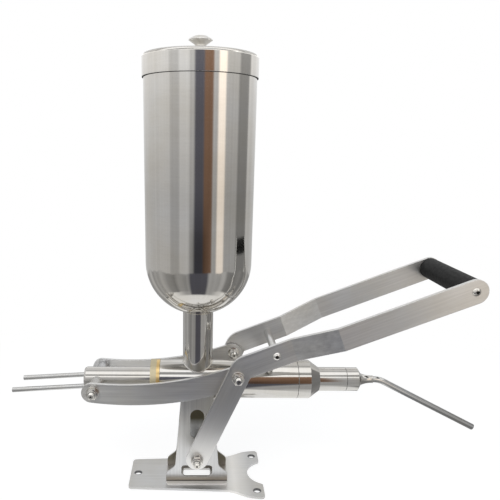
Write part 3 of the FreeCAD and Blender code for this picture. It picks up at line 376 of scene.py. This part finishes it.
def overlay(material, mask, color, rough=None, metal=None):
    """Give the masked part of a material another colour, roughness and metal share."""
    tree = material.node_tree
    shader = next(node for node in tree.nodes if node.type == "BSDF_PRINCIPLED")
    for label, value, kind in (("Base Color", (*color, 1), "RGBA"), ("Roughness", rough, "FLOAT"),
                               ("Metallic", metal, "FLOAT")):
        if value is not None:
            socket = shader.inputs[label]
            old = socket.links[0].from_socket if socket.is_linked else socket.default_value
            tree.links.new(mixed(tree, mask, old, value, kind), socket)


def dress(names, material):
    for name in names:
        mesh = NODES[name].data
        mesh.materials.clear()
        mesh.materials.append(material)


# ---------------------------------------------------------------- shapes

# Places of the finishes in a piece's list of materials.
# The DARK finish paints shade into sockets, centre marks and seams.
STEEL, DARK, INSERT = 0, 1, 2


class Shape:
    """Gathers turned forms and beads, with a finish for each face, before they become one mesh."""

    def __init__(self):
        self.spots = []
        self.faces = []
        self.finishes = []

    def turned(self, rows, place, steps=48):
        """Rows of (height, radius, finish) turned round the local Z of place.

        Height and radius may each be a function of the angle, and a radius of 0 closes the form. The finish
        is that of the band above the row.
        """
        rings = []
        for height, radius, *rest in rows:
            ring = []
            count = 1 if not callable(radius) and radius == 0 else steps
            for n in range(count):
                angle = 2 * pi * n / steps
                r = radius(angle) if callable(radius) else radius
                h = height(angle) if callable(height) else height
                ring.append(len(self.spots))
                self.spots.append(place @ Vector((r * cos(angle), r * sin(angle), h)))
            rings.append((ring, rest[0] if rest else STEEL))
        for (low, finish), (high, _) in zip(rings, rings[1:]):
            for n in range(steps):
                m = (n + 1) % steps
                face = [low[n % len(low)], low[m % len(low)], high[m % len(high)], high[n % len(high)]]
                face = list(dict.fromkeys(face))
                if len(face) > 2:
                    self.faces.append(face)
                    self.finishes.append(finish)

    def bead(self, points, radius, ripple, closed=False, sides=10, seed=5):
        """A run of weld along points; the radius swells and sinks with the ripple."""
        chance = random.Random(seed)
        count = len(points)
        rings = []
        for n, point in enumerate(points):
            before = points[n - 1] if n or closed else point
            after = points[(n + 1) % count] if n < count - 1 or closed else point
            ahead = (after - before).normalized()
            side = ahead.cross(Vector((0, 0, 1)))
            side = side.normalized() if side.length > 1e-6 else Vector((1, 0, 0))
            top = side.cross(ahead)
            size = radius * (1 + ripple * ((n % 4) / 3 - 0.5) + ripple * 0.5 * (chance.random() - 0.5))
            if not closed and n in (0, count - 1):
                size *= 0.3
            ring = []
            for k in range(sides):
                angle = 2 * pi * k / sides
                ring.append(len(self.spots))
                self.spots.append(point + side * size * cos(angle) + top * size * sin(angle))
            rings.append(ring)
        pairs = list(zip(rings, rings[1:])) + ([(rings[-1], rings[0])] if closed else [])
        for low, high in pairs:
            for k in range(sides):
                m = (k + 1) % sides
                self.faces.append([low[k], low[m], high[m], high[k]])
                self.finishes.append(STEEL)
        if not closed:
            for ring in (rings[0][::-1], rings[-1]):
                self.faces.append(ring)
                self.finishes.append(STEEL)

    def piece(self, name, materials, body, stands_for=(), slot=None, crease=32):
        mesh = bpy.data.meshes.new(name)
        mesh.from_pydata([tuple(s) for s in self.spots], [], self.faces)
        for material in materials:
            mesh.materials.append(material)
        mesh.polygons.foreach_set("material_index", self.finishes)
        mesh.polygons.foreach_set("use_smooth", [True] * len(self.faces))
        mesh.set_sharp_from_angle(angle=radians(crease))
        mesh.validate()
        piece = bpy.data.objects.new(name, mesh)
        bpy.context.collection.objects.link(piece)
        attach(piece, body)
        if stands_for:
            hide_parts(*stands_for)
        return piece


def across_at(x, y, z, outwards):
    """A place on the machine whose local Z points along Y, outwards giving the sign."""
    return Matrix.Translation((x, y, z)) @ Matrix.Rotation(-outwards * pi / 2, 4, "X")


def hexagon(flats):
    """Radius of a hexagon over its angle, with corners at 0, 60 and so on."""
    return lambda angle: flats / 2 / cos(angle % (pi / 3) - pi / 6)


def hex_sides(flats, low, high, flat_share=0.95):
    """Rows of a hexagon prism whose corners are turned down at both ends."""
    radius, inner, slope = hexagon(flats), flats / 2 * flat_share, tan(radians(28))
    return [(low, inner), (lambda a: low + (radius(a) - inner) * slope, radius),
            (lambda a: high - (radius(a) - inner) * slope, radius), (high, inner)]


NUT_FLATS = 0.013
NUT_HEIGHT = 0.0065
NUT_TOTAL = 0.008
HEAD_HEIGHT = 0.0053
BOLT_RADIUS = 0.004
WASHER_SHEET = 0.0016


def lock_nut(shape, place):
    """Hexagon nut with a rolled collar that holds a nylon ring."""
    rows = [(0, 0.0041)] + hex_sides(NUT_FLATS, 0.0, NUT_HEIGHT)
    rows += [(NUT_HEIGHT, 0.0056), (0.0073, 0.0056), (0.0078, 0.0053), (NUT_TOTAL, 0.0049),
             (NUT_TOTAL, 0.0046, INSERT), (0.0076, 0.0044, INSERT), (0.0075, 0.00402)]
    shape.turned(rows, place)


def washer(shape, place):
    """Flat washer with eased edges."""
    shape.turned([(0, 0.0041), (0, 0.0078), (0.0002, 0.008), (0.0014, 0.008), (WASHER_SHEET, 0.0078),
                  (WASHER_SHEET, 0.0043), (0.0014, 0.0041), (0, 0.0041)], place)


def hex_bolt(shape, place, length, thread, look):
    """Bolt from its head's seat upwards: shank, thread over the last part, and a centre mark in the tip."""
    rows = [(-HEAD_HEIGHT + 0.0003, 0), (-HEAD_HEIGHT + 0.0003, 0.0044), (-HEAD_HEIGHT, 0.005)]
    rows += hex_sides(NUT_FLATS, -HEAD_HEIGHT, -0.0003)
    rows += [(-0.0003, 0.0059), (0, 0.0059), (0, BOLT_RADIUS), (length - thread, BOLT_RADIUS)]
    chamfer = 0.0009
    count = int((thread - chamfer) / look.pitch * 8)
    for n in range(count + 1):
        height = length - thread + (thread - chamfer) * n / count
        rows.append((height, lambda a, h=height: BOLT_RADIUS - look.thread_depth * abs(
            2 * ((h / look.pitch - a / (2 * pi)) % 1) - 1)))
    # The centre mark in the tip takes the dark finish, a painted shade.
    rows += [(length, BOLT_RADIUS - chamfer), (length, 0.0013, DARK), (length - 0.0013, 0)]
    shape.turned(rows, place)


def button_screw(shape, place, look):
    """Button head with a hexagon socket; the shank goes into the rod behind."""
    head_radius, head_height = 0.00525, 0.0033
    ball = (head_radius ** 2 + head_height ** 2) / (2 * head_height)
    lift = head_height - ball
    dome = [(sqrt(ball ** 2 - r ** 2) + lift, r) for r in (0.0051, 0.0047, 0.0042, 0.0036, 0.0030, 0.0026)]
    key = hexagon(0.0040)
    mouth = sqrt(ball ** 2 - 0.0021 ** 2) + lift
    rows = [(-0.0127, 0), (-0.0127, 0.0029), (0, 0.003), (0, 0.0049), (0.0001, 0.0052)] + dome
    # The socket takes the dark finish, a painted shade.
    rows += [(mouth, lambda a: key(a) * 1.04, DARK), (mouth - look.socket, key, DARK),
             (mouth - look.socket - 0.0004, 0)]
    shape.turned(rows, place)


# ---------------------------------------------------------------- operators

class DONUT_OT_polished(bpy.types.Operator):
    """Give hopper, lid, neck and barrel their mirror polish"""
    bl_idname = "donut.polished"
    bl_label = "Polished Steel"

    def execute(self, context):
        look = context.scene.donut_steel
        color, rough = look.polished, look.polished_roughness
        upright = steel("polished_upright", color, rough, fine=(60, 60, 900), coarse=(3, 3, 90),
                        contrast=0.03, spread=0.012, relief=0.015, smudge=0.02, edge=look.edge)
        level = steel("polished_level", color, rough, fine=(900, 60, 60), coarse=(90, 3, 3),
                      contrast=0.03, spread=0.012, relief=0.015, smudge=0.02, edge=look.edge * 0.7)
        lid = steel("polished_lid", [min(1, c * 1.04) for c in color], rough, fine=(60, 60, 900),
                    coarse=(3, 3, 90), contrast=0.03, spread=0.02, relief=0.02, smudge=0.03,
                    edge=look.edge)
        dress(("hopper", "neck"), upright)
        dress(("lid",), lid)
        dress(("barrel", "outlet_reducer", "end_cap", "plunger_tube", "nozzle_adapter", "piston_head"), level)
        dress(("lid_knob",), steel("knob_steel", [c * 1.2 for c in look.satin], 0.34, fine=(300, 300, 60),
                                   contrast=0.1, relief=0.05, edge=look.edge))
        return {"FINISHED"}


class DONUT_OT_satin(bpy.types.Operator):
    """Give bars, links, bracket, base plate and rods their brushed finish"""
    bl_idname = "donut.satin"
    bl_label = "Satin Steel"

    def execute(self, context):
        look = context.scene.donut_steel
        color, rough, edge = look.satin, look.satin_roughness, look.edge
        plate = steel("satin_plate", [c * 0.86 for c in color], rough, contrast=0.07, coarse=(5, 240, 240),
                      pull=0.6, across=(0, 1, 0), smudge=0.08, edge=edge)
        # A painted highlight makes the plate pale across its middle; painted shade darkens it round its
        # holes.
        tree, x, y, _ = places(plate)
        middle_highlight = maths(tree, "MULTIPLY", within(tree, x, -0.040, -0.018, 0.012), 0.7)
        overlay(plate, middle_highlight, (1.0, 0.98, 0.94))
        for hole_x, hole_y in (EAR_HOLES, TAIL_HOLE):
            along, aside = maths(tree, "SUBTRACT", x, hole_x), maths(tree, "SUBTRACT", y, hole_y)
            away = maths(tree, "SQRT", maths(tree, "ADD", maths(tree, "MULTIPLY", along, along),
                                             maths(tree, "MULTIPLY", aside, aside)))
            # Painted shade round the hole.
            overlay(plate, mapped(tree, away, 0.0056, 0.0052), [c * 0.2 for c in color], 0.4)
        dress(("base_plate",), plate)
        bracket = steel("satin_bracket", [c * 0.94 for c in color], rough, slopes=(pi / 2,), contrast=0.12,
                        pull=0.6, smudge=0.1, tint=(0.88, 0.85, 0.79), edge=edge)
        # Painted shade darkens the bracket inside and at its foot, with a dark line at the flange joint.
        tree, _, y, z = places(bracket)
        inner = mapped(tree, y, 0.0190, 0.0182)
        upper_inside_shade = maths(tree, "MULTIPLY", inner, mapped(tree, z, 0.066, 0.076))
        overlay(bracket, upper_inside_shade, (0.15, 0.135, 0.09), 0.4)
        lower_inside_shade = maths(tree, "MULTIPLY", inner, mapped(tree, z, 0.034, 0.026))
        overlay(bracket, lower_inside_shade, (0.30, 0.28, 0.22), 0.4)
        foot = mapped(tree, z, 0.0140, 0.0080)
        overlay(bracket, foot, (0.36, 0.33, 0.29), 0.35)
        # Painted highlight: the flange top is pale.
        flange_highlight = maths(tree, "MULTIPLY", mapped(tree, y, 0.0214, 0.0217), mapped(tree, z, 0.0046, 0.0044))
        overlay(bracket, flange_highlight, (0.98, 0.96, 0.93), 0.42, 0.5)
        flange_joint_shade = maths(tree, "MULTIPLY", within(tree, y, 0.0206, 0.0218), within(tree, z, 0.0036, 0.0054))
        overlay(bracket, flange_joint_shade, (0.12, 0.11, 0.09), 0.5)
        dress(("bracket_front", "bracket_rear"), bracket)
        bars = {"contrast": 0.09, "fine": (12, 520, 520), "coarse": (6, 230, 230), "pull": 0.8, "edge": edge}
        lever = steel("satin_lever", color, rough, slopes=(LEG_SLOPE, HANDLE_SLOPE), **bars)
        tree, _, _, z = places(lever)
        # Painted highlight: the lever's leg is paler towards its foot.
        leg_highlight = maths(tree, "MULTIPLY", mapped(tree, z, 0.150, 0.050), 0.8)
        overlay(lever, leg_highlight, (0.94, 0.93, 0.91), 0.40)
        dress(("lever_arm_front", "lever_arm_rear"), lever)
        dress(("link_front", "link_rear"), steel("satin_link", color, rough, across=(0, 0, 1), **bars))
        dress(("bent_nozzle", "needle_upper", "needle_lower"),
              steel("tube_steel", [c * 0.88 for c in color], 0.12, fine=(200, 200, 200), contrast=0.05,
                    relief=0.03))
        dress(("tie_rod", "grip_core"),
              steel("rod_steel", color, 0.16, fine=(60, 900, 60), contrast=0.06, relief=0.04))
        dress(("pivot_sleeve", "pivot_spacers", "cross_spacers", "valve_cage", "needle_holder"),
              steel("turned_steel", [c * 0.8 for c in color], 0.34, fine=(300, 300, 300), contrast=0.08,
                    relief=0.05, edge=edge))
        dress(("valve_ball", "knob_screw"),
              steel("fastener_steel", look.fastener, 0.16, fine=(200, 200, 200), contrast=0.08,
                    relief=0.04, edge=edge * 0.4))
        return {"FINISHED"}


class DONUT_OT_trim(bpy.types.Operator):
    """Brass gland ring, rubber grip, gland bush and seals"""
    bl_idname = "donut.trim"
    bl_label = "Brass, Rubber and Seals"

    def execute(self, context):
        look = context.scene.donut_trim
        brass = steel("gland_brass", look.brass, 0.24, fine=(900, 60, 60), coarse=(90, 3, 3), contrast=0.1,
                      relief=0.05, smudge=0.1, tint=(0.9, 0.85, 0.7))
        tree, x, _, _ = places(brass)
        overlay(brass, mapped(tree, x, -0.1329, -0.1325, 1.0, 0.0), look.dulled_brass, 0.5, 0.55)
        dress(("gland_ring",), brass)
        dress(("grip_sleeve",), dull("grip_rubber", look.rubber, 0.5, grain=260.0, gloss=0.18))
        dress(("outlet_seal", "piston_seals"), dull("seal_rubber", look.rubber, 0.35))
        dress(("gland_bush",), dull("bush_plastic", look.bush, 0.3, grain=80.0))
        return {"FINISHED"}


class DONUT_OT_fasteners(bpy.types.Operator):
    """Threaded bolts, lock nuts, washers and socket screws"""
    bl_idname = "donut.fasteners"
    bl_label = "Fasteners"

    def execute(self, context):
        look, steel_look = context.scene.donut_fasteners, context.scene.donut_steel
        # The recess finish is painted shade in sockets and centre marks.
        recess_shade = dull("recess_painted_shade", steel_look.recess_shade, 0.6)
        insert = dull("nut_nylon", context.scene.donut_trim.nylon, 0.4)
        bright = steel("bright_fastener", steel_look.fastener, 0.13, fine=(300, 60, 300), contrast=0.06,
                       relief=0.03, smudge=0.04, edge=steel_look.edge * 0.35)
        finishes = (bright, recess_shade, insert)
        # name, body, pivot, and for each bolt: head seat, outward sign, tip, nut seat
        stacks = (("pivot", "stand", LOWER_PIVOT, ((0.0513, -1, -0.0653, -0.0513),)),
                  ("cross", "plunger", CROSS_PIVOT, ((0.0459, -1, -0.0587, -0.0459),)),
                  ("link", "lever", UPPER_PIVOT, ((-0.0381, -1, -0.0638, -0.0510),
                                                  (0.0510, -1, 0.0253, 0.0381))))
        for name, body, (x, z), bolts in stacks:
            plural = "s" if name == "link" else ""
            bolt, nut = Shape(), Shape()
            for seat, way, tip, nut_seat in bolts:
                length = abs(tip - seat)
                hex_bolt(bolt, across_at(x, seat, z, way), length, min(length, 0.018), look)
                lock_nut(nut, across_at(x, nut_seat, z, way))
            bolt.piece(name + "_bolt_turned", finishes, body, (f"{name}_bolt{plural}",), "fastener_steel")
            nut.piece(name + "_nut_turned", finishes, body, (f"{name}_nut{plural}",), "fastener_steel")
        # name, body, pivot, and for each washer: seat, outward sign
        washers = (("pivot_washers", "stand", LOWER_PIVOT, ((-0.0497, -1), (0.0497, 1))),
                   ("cross_washers", "plunger", CROSS_PIVOT, ((-0.0443, -1), (0.0443, 1))),
                   ("link_washers", "lever", UPPER_PIVOT, ((-0.0494, -1), (-0.0397, 1), (0.0494, 1),
                                                           (0.0397, -1))))
        for name, body, (x, z), seats in washers:
            shape = Shape()
            for y, way in seats:
                washer(shape, across_at(x, y, z, way))
            shape.piece(name + "_turned", finishes, body, (name,), "fastener_steel")
        for name, (x, z), face in (("grip_screws", GRIP_SPOT, 0.0698), ("tie_screws", TIE_SPOT, 0.0494)):
            shape = Shape()
            for way in (-1, 1):
                button_screw(shape, across_at(x, way * face, z, way), look)
            shape.piece(name + "_turned", finishes, "lever", (name,), "fastener_steel")
        return {"FINISHED"}


class DONUT_OT_welds(bpy.types.Operator):
    """Weld beads at the neck and the bracket, and rings of painted shade in the seams and under the lid"""
    bl_idname = "donut.welds"
    bl_label = "Welds and Seams"

    def execute(self, context):
        radius = context.scene.donut_fasteners.bead
        look = context.scene.donut_steel
        bead = steel("weld_steel", look.polished, 0.16, fine=(300, 300, 300), contrast=0.1, relief=0.05,
                     smudge=0.08, tint=(0.85, 0.78, 0.62))
        finishes = (bead, bpy.data.materials["recess_painted_shade"])
        neck = Shape()
        saddle, collar = [], []
        around = 120
        for n in range(around):
            angle = 2 * pi * n / around
            x, y = NECK_RADIUS * cos(angle), NECK_RADIUS * sin(angle)
            saddle.append(Vector((HOPPER_X + x, y, AXIS_Z + sqrt(BARREL_RADIUS ** 2 - y ** 2))))
            collar.append(Vector((HOPPER_X + x, y, BOWL_Z - sqrt(HOPPER_RADIUS ** 2 - NECK_RADIUS ** 2))))
        neck.bead(saddle, radius, 0.10, closed=True)
        neck.bead(collar, radius * 0.8, 0.10, closed=True)
        neck.piece("neck_welds", finishes, "stand", slot="polished_steel", crease=60)
        bracket = Shape()
        length, steps = 0.037, 30
        for side in (-1, 1):
            top = [Vector((HOPPER_X - length / 2 + length * n / steps, side * 0.0213, AXIS_Z - 0.0146))
                   for n in range(steps + 1)]
            bracket.bead(top, radius * 1.3, 0.35, seed=7 + side)
        bracket.piece("bracket_welds", finishes, "stand", slot="satin_steel", crease=60)
        seams = Shape()
        half, depth = 0.0006, 0.0004
        # Dark rings of painted shade sit in the grooves between turned pieces.
        # X and radius where the barrel meets the cone, the housing its cap, and the barrel the gland ring.
        for x, r in ((0.0509, 0.02525), (0.1161, 0.01540), (-0.1286, 0.02520)):
            place = Matrix.Translation((x, 0, AXIS_Z)) @ Matrix.Rotation(pi / 2, 4, "Y")
            seams.turned([(-half, r - depth, DARK), (-half, r, DARK), (half, r, DARK),
                          (half, r - depth, DARK)], place, 64)
        seams.piece("barrel_seam_shade", finishes, "stand", slot="seal_rubber")
        # A dark ring of painted shade fills the gap under the lid's skirt.
        # The gap under the lid's skirt: its lower and upper height, and its inner and outer radius.
        low, high, inner, outer = 0.51545, 0.51585, 0.06605, 0.06725
        lid = Shape()
        lid.turned([(high, inner, DARK), (low, inner, DARK), (low, outer, DARK), (high, outer, DARK)],
                   Matrix.Translation((HOPPER_X, 0, 0)), 96)
        lid.piece("lid_seam_shade", finishes, "lid", slot="seal_rubber")
        return {"FINISHED"}


class DONUT_OT_stage(bpy.types.Operator):
    """Floor, lamps, surroundings and camera"""
    bl_idname = "donut.stage"
    bl_label = "Studio"

    def execute(self, context):
        look = context.scene.donut_stage
        make_floor(look.floor_size)
        make_room(look.room_radius, look.room_height, look.vault_radius)
        make_world()
        make_lamp("key", look.key_power, (-0.9, -1.5, 1.9), 1.4, (1.0, 0.98, 0.95))
        make_lamp("fill", look.fill_power, (1.6, -1.0, 1.2), 1.2, (0.95, 0.97, 1.0))
        make_camera(context)
        return {"FINISHED"}


def seen_directly(tree):
    """1 where a camera, glossy or transmission ray arrives."""
    path = tree.nodes.new("ShaderNodeLightPath")
    either = maths(tree, "MAXIMUM", path.outputs["Is Camera Ray"], path.outputs["Is Glossy Ray"])
    return maths(tree, "MAXIMUM", either, path.outputs["Is Transmission Ray"])


def make_floor(size):
    """A pale floor that keeps the machine's shadow near it and turns plain white further out."""
    mesh = bpy.data.meshes.new("floor")
    half, height = size / 2, -0.0002
    mesh.from_pydata([(-half, -half, height), (half, -half, height), (half, half, height),
                      (-half, half, height)], [], [(0, 1, 2, 3)])
    floor = bpy.data.objects.new("floor", mesh)
    bpy.context.collection.objects.link(floor)
    material = bpy.data.materials.new("floor_white")
    material.use_nodes = True
    tree = material.node_tree
    tree.nodes.clear()
    out = tree.nodes.new("ShaderNodeOutputMaterial")
    lit = add(tree, "BsdfDiffuse", Color=(0.85, 0.85, 0.85, 1))
    pale = add(tree, "BsdfDiffuse", Color=(0.36, 0.36, 0.36, 1))
    glow = add(tree, "Emission", Color=(1, 1, 1, 1), Strength=0.78)
    both = tree.nodes.new("ShaderNodeAddShader")
    tree.links.new(pale.outputs[0], both.inputs[0])
    tree.links.new(glow.outputs[0], both.inputs[1])
    reach = add(tree, "VectorMath", operation="LENGTH")
    tree.links.new(tree.nodes.new("ShaderNodeTexCoord").outputs["Object"], reach.inputs[0])
    far = add(tree, "MapRange", interpolation_type="SMOOTHSTEP")
    far.inputs["From Min"].default_value = 0.30
    far.inputs["From Max"].default_value = 0.80
    tree.links.new(reach.outputs["Value"], far.inputs["Value"])
    seen = tree.nodes.new("ShaderNodeMixShader")
    white = add(tree, "Emission", Color=(1, 1, 1, 1), Strength=1.0)
    tree.links.new(far.outputs["Result"], seen.inputs[0])
    tree.links.new(both.outputs[0], seen.inputs[1])
    tree.links.new(white.outputs[0], seen.inputs[2])
    choose = tree.nodes.new("ShaderNodeMixShader")
    tree.links.new(seen_directly(tree), choose.inputs[0])
    tree.links.new(lit.outputs[0], choose.inputs[1])
    tree.links.new(seen.outputs[0], choose.inputs[2])
    tree.links.new(choose.outputs[0], out.inputs["Surface"])
    mesh.materials.append(material)


# Plain tones of an ordinary room: light paint, grey paint, shade, a dark opening, brown cloth, daylight.
PAINT, GREY, SHADE = (0.6, 0.6, 0.6), (0.45, 0.45, 0.45), (0.25, 0.25, 0.25)
OPENING, BROWN, DAYLIGHT = (0.1, 0.1, 0.12), (0.2, 0.12, 0.08), (1.1, 1.0, 0.9)
# What stands round the table, by bearing in degrees from the front (towards +X): where each one starts.
WALLS = ((-180, PAINT), (-60, GREY), (-40, PAINT), (-20, GREY), (-10, OPENING), (8, BROWN), (25, GREY),
         (35, DAYLIGHT), (50, GREY), (80, SHADE), (110, PAINT))
# The ground beyond the white board that the machine stands on.
GROUND = ((-180, GREY), (-20, OPENING), (20, GREY), (60, SHADE), (120, GREY))
# Lamps and beams overhead, by angle in degrees from the front over the top to the back.
LAMP, PANEL, BEAM = (1.4, 1.4, 1.4), (0.8, 0.8, 0.8), (0.4, 0.4, 0.4)
CEILING = ((30, LAMP), (45, BEAM), (60, LAMP), (90, PANEL), (100, BEAM), (105, PANEL), (145, BEAM))
CEILING_ANGLES = range(30, 165)
# How much lighter the walls get with height, and how light the sky over them is.
WALL_LIGHT = {"wall": 1.0, "high": 1.4, "top": 1.8}
SKY_LIGHT = 1.4
# Steps round the room, and the ground's height.
ROOM_STEPS = 360
GROUND_HEIGHT = 0.002
# The ground's uneven patches: steps from one to the next, the darkest one, and the span above it.
PATCH_STEPS = 9
PATCH_LOW = 0.55
PATCH_SPAN = 0.75


def strip_tone(table, at, soft):
    """Tone of a table's strips at a bearing or angle, with a soft edge between two strips."""
    tone = Vector(table[0][1])
    for start, value in table[1:]:
        tone = tone.lerp(Vector(value), min(1.0, max(0.0, (at - start) / soft + 0.5)))
    return tone


def in_front(bearing, near, far):
    """1 up to near degrees on either side of the front, falling to 0 at far degrees."""
    return 1 - min(1.0, max(0.0, (abs(bearing) - near) / (far - near)))


def room_tone(part, bearing, wall, ground, patch):
    """Tone at one step of the way out over the ground, up the walls and into the sky."""
    white = Vector((1.0, 1.0, 0.99))
    if part == "board":
        return white
    if part == "rim":
        return white.lerp(ground, in_front(bearing, 35, 70))
    if part in ("ground", "foot"):
        return ground * patch
    if part == "low":
        return wall * (1 - 0.5 * in_front(bearing, 10, 22))
    if part in WALL_LIGHT:
        return wall * WALL_LIGHT[part]
    return white * SKY_LIGHT


def grid_faces(first, rows, wide):
    """Faces of a grid of rows, each wide spots long, from its first spot on."""
    return [(first + r * wide + n, first + r * wide + n + 1, first + (r + 1) * wide + n + 1,
             first + (r + 1) * wide + n) for r in range(rows - 1) for n in range(wide - 1)]


def make_room(radius, height, vault):
    """Ground, walls and ceiling that show in reflections only: they give the steel something to mirror and
    light nothing else."""
    chance = random.Random(3)
    spots, tones = [], []
    flutter = [1 + 0.12 * (chance.random() - 0.5) for _ in range(ROOM_STEPS + 1)]
    patches = [PATCH_LOW + PATCH_SPAN * chance.random() for _ in range(ROOM_STEPS // PATCH_STEPS + 2)]
    over_ground = ((0.12, "board"), (0.180, "board"), (0.205, "rim"), (0.25, "rim"), (0.27, "ground"),
                   (0.34, "ground"), (0.44, "ground"), (radius * 0.72, "ground"), (radius, "foot"))
    up_walls = ((0.003, "foot"), (0.008, "low"), (0.19, "low"), (0.32, "wall"), (0.56, "high"), (0.70, "top"),
                (0.73, "sky"), (height, "sky"))
    rows = [(reach, GROUND_HEIGHT, part) for reach, part in over_ground]
    rows += [(radius, z, part) for z, part in up_walls]
    for reach, z, part in rows:
        for n in range(ROOM_STEPS + 1):
            bearing = n - 180
            step = n / PATCH_STEPS
            patch = patches[int(step)] + (patches[int(step) + 1] - patches[int(step)]) * (step % 1)
            patch = patch + (1 - patch) * in_front(bearing, 14, 30)
            tone = room_tone(part, bearing, strip_tone(WALLS, bearing, 3.0), strip_tone(GROUND, bearing, 6.0),
                             patch) * flutter[n]
            jag = 1 + (0.25 * (patch - 0.9) if part == "ground" else 0)
            rise = 0.10 * (patch - PATCH_LOW) if GROUND_HEIGHT < z < 0.01 else 0
            spots.append((HOPPER_X + reach * jag * sin(radians(bearing)),
                          -reach * jag * cos(radians(bearing)), z + rise))
            tones.append((*tone, 1.0))
    faces = grid_faces(0, len(rows), ROOM_STEPS + 1)
    ribs = (-2.2, -0.5, 0.0, 0.5, 2.2)
    faces += grid_faces(len(spots), len(ribs), len(CEILING_ANGLES))
    for x in ribs:
        for angle in CEILING_ANGLES:
            tone = strip_tone(CEILING, angle, 2.0)
            spots.append((x, -vault * cos(radians(angle)), AXIS_Z + vault * sin(radians(angle))))
            tones.append((*tone, 1.0))
    mesh = bpy.data.meshes.new("room")
    mesh.from_pydata(spots, [], faces)
    layer = mesh.attributes.new("tone", "FLOAT_COLOR", "POINT")
    layer.data.foreach_set("color", [value for tone in tones for value in tone])
    room = bpy.data.objects.new("room", mesh)
    bpy.context.collection.objects.link(room)
    for kind in ("camera", "diffuse", "transmission", "volume_scatter", "shadow"):
        setattr(room, "visible_" + kind, False)
    material = bpy.data.materials.new("room_walls")
    material.use_nodes = True
    tree = material.node_tree
    tree.nodes.clear()
    out = tree.nodes.new("ShaderNodeOutputMaterial")
    tone = add(tree, "VertexColor", layer_name="tone")
    glow = tree.nodes.new("ShaderNodeEmission")
    tree.links.new(tone.outputs["Color"], glow.inputs["Color"])
    tree.links.new(glow.outputs[0], out.inputs["Surface"])
    mesh.materials.append(material)


def make_world():
    world = bpy.data.worlds.new("studio")
    world.use_nodes = True
    tree = world.node_tree
    tree.nodes.clear()
    out = tree.nodes.new("ShaderNodeOutputWorld")
    soft = add(tree, "Background", Color=(0.95, 0.97, 1.0, 1), Strength=0.55)
    white = add(tree, "Background", Color=(1, 1, 1, 1), Strength=1.0)
    choose = tree.nodes.new("ShaderNodeMixShader")
    tree.links.new(seen_directly(tree), choose.inputs[0])
    tree.links.new(soft.outputs[0], choose.inputs[1])
    tree.links.new(white.outputs[0], choose.inputs[2])
    tree.links.new(choose.outputs[0], out.inputs["Surface"])
    bpy.context.scene.world = world


def make_lamp(name, power, spot, size, color):
    lamp = bpy.data.lights.new(name, "AREA")
    lamp.energy = power
    lamp.size = size
    lamp.color = color
    holder = bpy.data.objects.new(name, lamp)
    holder.location = spot
    aim = Vector((HOPPER_X, 0, 0.28)) - Vector(spot)
    holder.rotation_euler = aim.to_track_quat("-Z", "Y").to_euler()
    bpy.context.collection.objects.link(holder)


# The camera's yaw, pitch and roll in radians, and its place.
CAMERA_TURN = (0.028, 0.251, 0.015)
CAMERA_SPOT = Vector((-0.08257, -0.68609, 0.43745))


def make_camera(context):
    """A short lens close to the machine, a little above the neck and turned slightly down."""
    data = bpy.data.cameras.new("camera")
    data.lens = 40.173
    data.sensor_width = 36.0
    data.shift_x = 0.07786
    data.shift_y = 0.08354
    holder = bpy.data.objects.new("camera", data)
    yaw, pitch, roll = CAMERA_TURN
    forward = Vector((sin(yaw) * cos(pitch), cos(yaw) * cos(pitch), -sin(pitch)))
    level = Vector((cos(yaw), -sin(yaw), 0))
    upright = level.cross(forward)
    right = level * cos(roll) + upright * sin(roll)
    top = upright * cos(roll) - level * sin(roll)
    turn = Matrix((right, top, -forward)).transposed().to_4x4()
    holder.matrix_world = Matrix.Translation(CAMERA_SPOT) @ turn
    context.collection.objects.link(holder)
    context.scene.camera = holder


ORDER = (DONUT_OT_polished, DONUT_OT_satin, DONUT_OT_trim, DONUT_OT_fasteners, DONUT_OT_welds,
         DONUT_OT_stage)
GROUPS = (("donut_steel", SteelSettings), ("donut_trim", TrimSettings), ("donut_fasteners", FastenerSettings),
          ("donut_stage", StageSettings))


class DONUT_PT_panel(bpy.types.Panel):
    """Lists the settings and the steps that dress the machine"""
    bl_idname = "DONUT_PT_panel"
    bl_label = "Donut Filler"
    bl_space_type = "VIEW_3D"
    bl_region_type = "UI"
    bl_category = "Donut Filler"

    def draw(self, context):
        for name, kind in GROUPS:
            box = self.layout.box()
            for setting in kind.__annotations__:
                box.prop(getattr(context.scene, name), setting)
        for step in ORDER:
            self.layout.operator(step.bl_idname)


CLASSES = (*(kind for _, kind in GROUPS), *ORDER, DONUT_PT_panel)


def register():
    for item in CLASSES:
        bpy.utils.register_class(item)
    for name, kind in GROUPS:
        setattr(bpy.types.Scene, name, PointerProperty(type=kind))


def unregister():
    for name, _ in GROUPS:
        delattr(bpy.types.Scene, name)
    for item in reversed(CLASSES):
        bpy.utils.unregister_class(item)


def main():
    register()
    bpy.context.scene.view_settings.view_transform = "Standard"
    build_belt_group()
    build_smudge_group()
    build_edge_group()
    for step in ORDER:
        group, name = step.bl_idname.split(".")
        getattr(getattr(bpy.ops, group), name)()


if __name__ == "__main__":
    main()
